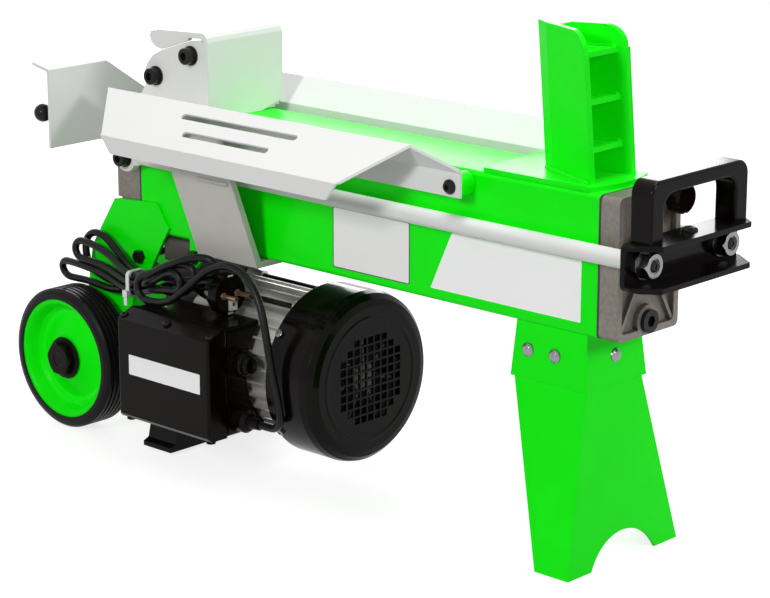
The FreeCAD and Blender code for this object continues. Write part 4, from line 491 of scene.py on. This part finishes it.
def label(name, corners, wall, round_by, rim, slot, rim_slot):
    """Foil on a wall at y = wall. Its (x, z) corners: low left and right, high left and right."""
    deselect()
    middle_x = sum(x for x, z in corners) / 4
    middle_z = sum(z for x, z in corners) / 4
    bpy.ops.mesh.primitive_plane_add(
        size=2 * MM, location=(middle_x * MM, wall * MM, middle_z * MM),
        rotation=(math.radians(90), 0, 0))
    piece = start_piece(name)
    for number, (x, z) in enumerate(corners):
        side_x = 1 if number % 2 else -1
        side_z = 1 if number > 1 else -1
        move = ((x - middle_x - side_x) * MM, 0, (z - middle_z - side_z) * MM)
        choose(piece, lambda v: (v.co.x / MM - middle_x) * side_x > 0
               and (v.co.z / MM - middle_z) * side_z > 0, "VERT")
        bpy.ops.transform.translate(value=move)
        bpy.ops.object.mode_set(mode="OBJECT")
    choose(piece, lambda v: True, "VERT")
    bpy.ops.mesh.bevel(offset=round_by * MM, segments=4, affect="VERTICES")
    bpy.ops.object.mode_set(mode="OBJECT")
    choose(piece, lambda f: True)
    bpy.ops.mesh.extrude_region_move(TRANSFORM_OT_translate={"value": (0, -FOIL * MM, 0)})
    bpy.ops.object.mode_set(mode="OBJECT")
    choose(piece, lambda f: f.normal.y < -0.9
           or (f.center.y < (wall - FOIL + 0.05) * MM and abs(f.normal.y) > 0.9))
    bpy.ops.mesh.inset(thickness=rim * MM, depth=-PRESSED_IN * MM)
    end_piece(piece, "frame", rim_slot)
    piece.data.materials.append(extras[slot][1])
    outer_faces = [f for f in piece.data.polygons if f.center.y < (wall - 0.1) * MM]
    max(outer_faces, key=lambda f: f.area).material_index = 1
    print(name, "faces:", len(piece.data.polygons))


# %% The three labels
beam_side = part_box("front_end_cap")[0][1] / MM
box_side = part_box("control_box_cover")[0][1] / MM
label("rating_foil", [(8.75, 232.5), (111.25, 232.5), (8.75, 294), (111.25, 294)],
      beam_side, 2.5, 1.1, "bare_foil", "foil_edge")
label("beam_sticker", [(138.25, 235), (321.25, 235), (165.25, 293), (321.25, 293)],
      beam_side, 1.5, 0.5, "bare_sticker", "bare_sticker")
label("box_sticker", [(-205.5, 96), (-98.8, 96), (-205.5, 117), (-98.8, 117)],
      box_side, 0.6, 0.4, "bare_sticker", "bare_sticker")

# %% [markdown]
# ## Small screws
# The lid of the control box is held by screws along its bevelled edge, and others
# hold the fan cover. They differ only in size, place and direction, so one
# function makes them all: a short cylinder whose end face is inset twice, first
# for the crown and then for the rim of the driver's socket, which is pushed in.

# %% One screw
SCREW_SIDES = 20
CROWN_WIDTH, CROWN_RISE, SOCKET_RIM = 0.3, 0.16, 0.25    # shares of the head's radius
SOCKET_DEPTH = 0.45                                      # share of the head's height


def screw(name, place, along, radius, height, body, slot):
    """Round head at place, its axis along the given direction, with a driver socket."""
    deselect()
    way = Vector(along).normalized()
    bpy.ops.mesh.primitive_cylinder_add(
        vertices=SCREW_SIDES, radius=radius * MM, depth=height * MM,
        location=Vector(place) * MM + way * (height / 2 * MM),
        rotation=Vector(along).to_track_quat("Z", "Y").to_euler())
    piece = start_piece(name)
    choose(piece, lambda f: len(f.vertices) == SCREW_SIDES and f.normal.dot(way) > 0.9)
    bpy.ops.mesh.inset(thickness=radius * CROWN_WIDTH * MM, depth=radius * CROWN_RISE * MM)
    bpy.ops.mesh.inset(thickness=radius * SOCKET_RIM * MM, depth=0)
    bpy.ops.mesh.extrude_region_move(
        TRANSFORM_OT_translate={"value": way * (-SOCKET_DEPTH * height * MM)})
    end_piece(piece, body, slot)


# %% Screws of the control box lid
lid_low, lid_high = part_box("control_box_cover")
lid_x0, lid_x1 = lid_low[0] / MM, lid_high[0] / MM
lid_top = lid_high[2] / MM
HEAD_RADIUS, HEAD_HEIGHT = 4.2, 2.6
BEVEL_WIDTH = 13.9
BEVEL_WAY = (0, -8.5, 19)
END_DROP, MIDDLE_DROP, MIDDLE_SHIFT = 6.4, 4.4, 1.5    # a drop is down from the lid's top
FOOT_RADIUS, FOOT_HEIGHT = 5.0, 3.4
FOOT_INSET, FOOT_BEHIND = 8, 10.0
lid_places = ((lid_x0 + HEAD_RADIUS, END_DROP), ((lid_x0 + lid_x1) / 2 - MIDDLE_SHIFT, MIDDLE_DROP),
              (lid_x1 - HEAD_RADIUS, END_DROP))
for number, (x, drop) in enumerate(lid_places):
    screw("lid_screw_%d" % number, (x, box_side + BEVEL_WIDTH - drop, lid_top - drop), BEVEL_WAY,
          HEAD_RADIUS, HEAD_HEIGHT, "frame", "black_steel")
for number, x in enumerate((lid_x0 + FOOT_INSET, lid_x1 - FOOT_INSET)):
    screw("lid_foot_%d" % number, (x, box_side + FOOT_BEHIND, lid_low[2] / MM), (0, 0, -1),
          FOOT_RADIUS, FOOT_HEIGHT, "frame", "black_plastic")
print("lid top:", round(lid_top, 1))

# %% [markdown]
# ## Metal of the plug
# The plug is one black solid with its pins. The real one shows brass pins, an
# earth tongue with a round hole below them, and earth strips let into the rim.
# Sleeves cover the pins, and thin plates make the tongue and the strips.

# %% Sizes of the plug
plug_low, plug_high = (tuple(v / MM for v in corner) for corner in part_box("mains_plug"))
plug_y = (plug_low[1] + plug_high[1]) / 2
plug_z = (plug_low[2] + plug_high[2]) / 2
plug_radius = (plug_high[1] - plug_low[1]) / 2
PIN_LENGTH, PIN_RADIUS, PIN_SPACING = 19.0, 2.4, 19.0
SLEEVE, TIP_INSET = 0.12, 0.9
COLLAR_STEP, COLLAR_GROWTH = 0.05, 1.5
PLATE_EDGE = 0.3
face_x = plug_high[0] - PIN_LENGTH
print("plug face at", round(face_x, 1), "radius", round(plug_radius, 1))


# %% Helpers for pins and plates
def pin_sleeve(name, y):
    """Brass pin, its tip inset, with a thin wider collar where it enters the face."""
    deselect()
    bpy.ops.mesh.primitive_cylinder_add(
        vertices=28, radius=(PIN_RADIUS + SLEEVE) * MM, depth=PIN_LENGTH * MM,
        location=((face_x + PIN_LENGTH / 2) * MM, y * MM, plug_z * MM),
        rotation=(0, math.radians(90), 0))
    piece = start_piece(name)
    choose(piece, lambda f: f.normal.x > 0.9)
    bpy.ops.mesh.inset(thickness=TIP_INSET * MM, depth=0)
    bpy.ops.mesh.select_all(action="DESELECT")
    bpy.ops.object.mode_set(mode="OBJECT")
    choose(piece, lambda f: f.normal.x < -0.9)
    bpy.ops.mesh.extrude_region_move(TRANSFORM_OT_translate={"value": (COLLAR_STEP * MM, 0, 0)})
    bpy.ops.transform.resize(value=(1, COLLAR_GROWTH, COLLAR_GROWTH),
                             center_override=(face_x * MM, y * MM, plug_z * MM))
    end_piece(piece, "frame", "dull_brass")


def plate_part(name, low, high):
    """Thin plate between two corners, its edges bevelled."""
    deselect()
    middle = [(a + b) / 2 * MM for a, b in zip(low, high)]
    bpy.ops.mesh.primitive_cube_add(size=1.0, location=middle,
                                    scale=[(b - a) * MM for a, b in zip(low, high)])
    piece = start_piece(name)
    choose(piece, lambda e: True, "EDGE")
    bpy.ops.mesh.bevel(offset=PLATE_EDGE * MM, segments=2)
    end_piece(piece, "frame", "bright_contact")
    return piece


# %% Pins and earth strips
STRIP_HALF_WIDTH, STRIP_HALF_SHEET, STRIP_DEPTH = 3.4, 1.0, 9
STRIP_INSET, STRIP_PROUD = 1.9, 0.6
for word, side in (("near", -1), ("far", 1)):
    pin_sleeve("pin_" + word, plug_y + side * PIN_SPACING / 2)
for word, side in (("low", -1), ("high", 1)):
    edge = plug_z + side * (plug_radius - STRIP_INSET)
    plate_part("earth_strip_" + word,
               (face_x - STRIP_DEPTH, plug_y - STRIP_HALF_WIDTH, edge - STRIP_HALF_SHEET),
               (face_x + STRIP_PROUD, plug_y + STRIP_HALF_WIDTH, edge + STRIP_HALF_SHEET))
print("pins: 2, earth strips: 2")

# %% [markdown]
# ### Earth tongue
# The tongue under the pins has a round hole for the earth pin of a wall socket. A
# hole is easiest to cut: a plate is made first, a cylinder is set through it, and
# a Boolean modifier takes the cylinder away.

# %% Earth tongue
TONGUE_HOLE, DRILL_LENGTH = 2.2, 20


def earth_tongue(name, low, high, hole):
    """Plate that stands on the plug's face, drilled through along X."""
    piece = plate_part(name, low, high)
    middle = [(a + b) / 2 * MM for a, b in zip(low, high)]
    deselect()
    bpy.ops.mesh.primitive_cylinder_add(
        vertices=24, radius=hole * MM, depth=DRILL_LENGTH * MM, location=middle,
        rotation=(0, math.radians(90), 0))
    drill = bpy.context.active_object
    deselect()
    piece.select_set(True)
    bpy.context.view_layer.objects.active = piece
    cut = piece.modifiers.new("pin hole", "BOOLEAN")
    cut.operation = "DIFFERENCE"
    cut.solver = "EXACT"
    cut.object = drill
    bpy.ops.object.modifier_apply(modifier=cut.name)
    deselect()
    drill.select_set(True)
    bpy.ops.object.delete()
    return piece


tongue = earth_tongue("earth_tongue", (face_x - 0.5, plug_y - 3.0, plug_z - 16.5),
                      (face_x + 3.5, plug_y + 6.5, plug_z - 3.5), TONGUE_HOLE)
print("tongue faces:", len(tongue.data.polygons))

# %% [markdown]
# ## Weld beads
# The wedge, its ribs, its base and the strap are welded by hand. A bead is a row
# of overlapping ripples, a little uneven. It could be modelled ripple by ripple,
# but a curve whose points swell and shrink in turn does the same along any line.
# The curve is made a mesh and lies halfway in the corner.

# %% One bead along a line
RIPPLE_PITCH = 1.7
END_TAPER = (0.45, 0.8)    # shares of the radius at the last point and the one before it


def weld(name, route, radius, slot):
    """Rippled bead through (x, y, z) points in millimetres."""
    curve = bpy.data.curves.new(name, "CURVE")
    curve.dimensions = "3D"
    curve.bevel_depth = 1.0
    curve.bevel_resolution = 2
    curve.use_fill_caps = True
    points = []
    for start, end in zip(route, route[1:]):
        start, end = Vector(start), Vector(end)
        count = max(2, int((end - start).length / (RIPPLE_PITCH / 2)))
        points += [start.lerp(end, step / count) for step in range(count)]
    points.append(Vector(route[-1]))
    line = curve.splines.new("POLY")
    line.points.add(len(points) - 1)
    for number, (knot, place) in enumerate(zip(line.points, points)):
        lift = 0.12 * math.sin(number * 0.9)
        uneven = 0.022 * math.sin(number * 1.7) + 0.016 * math.sin(number * 0.43 + 1.0)
        ripple = 0.16 if number % 2 else -0.06
        from_end = min(number, len(points) - 1 - number)
        taper = END_TAPER[from_end] if from_end < len(END_TAPER) else 1.0
        knot.co = (*((place + Vector((0, 0, lift))) * MM), 1.0)
        knot.radius = radius * MM * (1.0 + ripple + uneven) * taper
    piece = bpy.data.objects.new(name, curve)
    bpy.context.scene.collection.objects.link(piece)
    deselect()
    piece.select_set(True)
    bpy.context.view_layer.objects.active = piece
    bpy.ops.object.convert(target="MESH")
    piece = bpy.context.active_object
    piece.name = name
    bpy.ops.object.mode_set(mode="EDIT")
    end_piece(piece, "frame", slot, smooth=60)
    return piece


# %% Beads along the foot of the wedge and the edges of its base
base_low, base_high = (tuple(v / MM for v in corner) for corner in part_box("wedge_base"))
wedge_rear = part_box("splitting_wedge")[1][0] / MM
foot = base_high[2]
WEDGE_LENGTH = 80.0
WEDGE_OUTLINE = ((3, 2.5), (17, 10.3), (78, 32.8))    # distance behind the nose, half width
BASE_BEAD_Y, BASE_BEAD_SINK = 40.5, 3.6
nose = wedge_rear - WEDGE_LENGTH
for side, word in ((-1, "near"), (1, "far")):
    foot_line = [(nose + back, side * half, foot + 0.4) for back, half in WEDGE_OUTLINE]
    weld("wedge_bead_" + word, foot_line, 2.3, "green_paint")
    weld("base_bead_" + word,
         [(base_low[0] + 6, side * BASE_BEAD_Y, foot - BASE_BEAD_SINK),
          (base_high[0] - 26, side * BASE_BEAD_Y, foot - BASE_BEAD_SINK)], 2.0, "green_paint")
print("wedge foot:", round(foot, 1), "nose:", round(nose, 1))

# %% Bead on the strap, under the lip of the table
strap_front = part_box("table_strap")[1][0] / MM
STRAP_BEAD_Y, STRAP_BEAD_Z = -94.8, 308.5
strap_line = [(strap_front - 50, STRAP_BEAD_Y, STRAP_BEAD_Z),
              (strap_front - 5, STRAP_BEAD_Y, STRAP_BEAD_Z)]
strap_bead = weld("strap_bead", strap_line, 2.4, "white_paint")
# The bead takes the strap's paint, with its painted shade and painted edge highlight.
strap_bead.data.materials[0] = strap_shade_and_highlight
print("strap front:", round(strap_front, 1))

# %% Beads on top of the three ribs, along both wedge plates
WEDGE_LEAN = math.tan(math.radians(5.0))
RIB_SHEET = 5.0
RIB_LEVELS = (25.0, 68.0, 111.0)
RIB_BACK_INSET = 8.5
# name, reach, y at the end near the nose and at the rear end, radius
RIB_BEADS = (("rib_bead", 38, 13.0, 23.6, 1.7), ("rib_tack", 30, -15.5, -23.6, 1.4))
for number, level in enumerate(RIB_LEVELS):
    above = level + RIB_SHEET + 0.3
    rear = wedge_rear - WEDGE_LEAN * above
    for name, reach, nose_y, rear_y, radius in RIB_BEADS:
        weld("%s_%d" % (name, number), [(rear - reach, nose_y, foot + above),
                                        (rear - RIB_BACK_INSET, rear_y, foot + above)],
             radius, "green_paint")
print("rib beads:", len(RIB_BEADS) * len(RIB_LEVELS))

# %% [markdown]
# ## Thread ends and motor screws
# Each pull rod ends in a dark thread inside its nut. Only its end shows, so the
# screw's shape serves for it, with a low crown and a dimple in the middle. It
# rides on the ram, as the rod does. Bright screws hold the fan cover to the motor.

# %% Thread ends
nuts_low, nuts_high = (tuple(v / MM for v in corner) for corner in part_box("rod_nuts"))
rod_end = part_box("pull_rods")[1][0] / MM
nut_z = (nuts_low[2] + nuts_high[2]) / 2
nut_y = nuts_high[1] - (nuts_high[2] - nuts_low[2]) / 2
for side, word in ((-1, "near"), (1, "far")):
    screw("thread_end_" + word, (rod_end - 0.3, side * nut_y, nut_z), (1, 0, 0), 5.6, 1.9,
          "ram", "black_steel")
print("rod end:", round(rod_end, 1))

# %% Screws of the fan cover
fan_low, fan_high = (tuple(v / MM for v in corner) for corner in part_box("fan_cover"))
fan_z = (fan_low[2] + fan_high[2]) / 2
fan_radius = fan_high[1]
COVER_SCREW_TURNS = (35, 145, 215, 325)
COVER_SCREW_INSET = 5.5
for number, turn in enumerate(COVER_SCREW_TURNS):
    out_y, out_z = -math.cos(math.radians(turn)), math.sin(math.radians(turn))
    screw("cover_screw_%d" % number,
          (fan_low[0] + COVER_SCREW_INSET, fan_radius * out_y, fan_z + fan_radius * out_z),
          (0, out_y, out_z), HEAD_RADIUS, HEAD_HEIGHT, "frame", "zinc_steel")
print("cover screws:", len(COVER_SCREW_TURNS))

# %% [markdown]
# ## Floor and light
# The machine stands on a plain pale floor in soft studio light. Area lamps above,
# in front and to its near side are small enough for clear highlights on gloss
# paint, and the pale world fills the shadows. A larger lamp behind the machine
# draws light along its upper edges. The floor and the world are brighter to the
# camera, in reflections and through glass than they are as light, so the floor
# reads as white and keeps its shadow.

# %% Floor
def add_rays(tree, rays):
    """1 for what the camera sees straight, in gloss or through glass, else 0."""
    total = rays.outputs["Is Camera Ray"]
    for kind in ("Is Glossy Ray", "Is Transmission Ray"):
        step = put(tree, "ShaderNodeMath", {"operation": "ADD", "use_clamp": True})
        tree.links.new(total, step.inputs[0])
        tree.links.new(rays.outputs[kind], step.inputs[1])
        total = step.outputs["Value"]
    return total


FLOOR_SIZE = 14.0
FLOOR_GREY = (0.36, 0.36, 0.36)
FLOOR_GLOW = 0.78
deselect()
bpy.ops.mesh.primitive_plane_add(size=FLOOR_SIZE, location=(0, 0, 0))
floor = bpy.context.active_object
floor.name = "floor"
paper = bpy.data.materials.new("pale paper")
paper.use_nodes = True
tree = paper.node_tree
shader = tree.nodes["Principled BSDF"]
shader.inputs["Base Color"].default_value = (*FLOOR_GREY, 1)
shader.inputs["Roughness"].default_value = 0.75
shader.inputs["Emission Color"].default_value = (1, 1, 1, 1)
rays = put(tree, "ShaderNodeLightPath")
glow = put(tree, "ShaderNodeMath", {"operation": "MULTIPLY"})
glow.inputs[1].default_value = FLOOR_GLOW
tree.links.new(add_rays(tree, rays), glow.inputs[0])
tree.links.new(glow.outputs["Value"], shader.inputs["Emission Strength"])
floor.data.materials.append(paper)
print("floor:", FLOOR_SIZE, "m")

# %% World
FILL_LIGHT, SEEN_BRIGHTNESS = 0.30, 1.0
world = bpy.data.worlds.new("studio")
bpy.context.scene.world = world
world.use_nodes = True
tree = world.node_tree
sky = tree.nodes["Background"]
rays = put(tree, "ShaderNodeLightPath")
seen = put(tree, "ShaderNodeMapRange", To_Min=FILL_LIGHT, To_Max=SEEN_BRIGHTNESS)
tree.links.new(add_rays(tree, rays), seen.inputs["Value"])
tree.links.new(seen.outputs["Result"], sky.inputs["Strength"])
sky.inputs["Color"].default_value = (1, 1, 1, 1)
print("fill light:", FILL_LIGHT)


# %% Lamps
def lamp(name, place, target, size, watts):
    """Square area lamp aimed at a point."""
    data = bpy.data.lights.new(name, "AREA")
    data.energy = watts
    data.size = size
    light = bpy.data.objects.new(name, data)
    light.location = place
    light.rotation_mode = "QUATERNION"
    aim = Vector(target) - Vector(place)
    light.rotation_quaternion = aim.to_track_quat("-Z", "Y")
    bpy.context.scene.collection.objects.link(light)
    print("lamp:", name, watts, "W")


MACHINE_MIDDLE = (0, 0, 0.2)
lamp("overhead", (0.1, 0.2, 2.4), MACHINE_MIDDLE, 1.0, 29)
lamp("front", (2.2, 0.3, 1.2), MACHINE_MIDDLE, 0.6, 19)
lamp("side", (0.3, -2.4, 1.3), MACHINE_MIDDLE, 0.5, 30)
lamp("back", (-1.9, 2.1, 1.15), (0, 0, 0.3), 1.4, 31)
bpy.context.scene.view_settings.view_transform = "Standard"
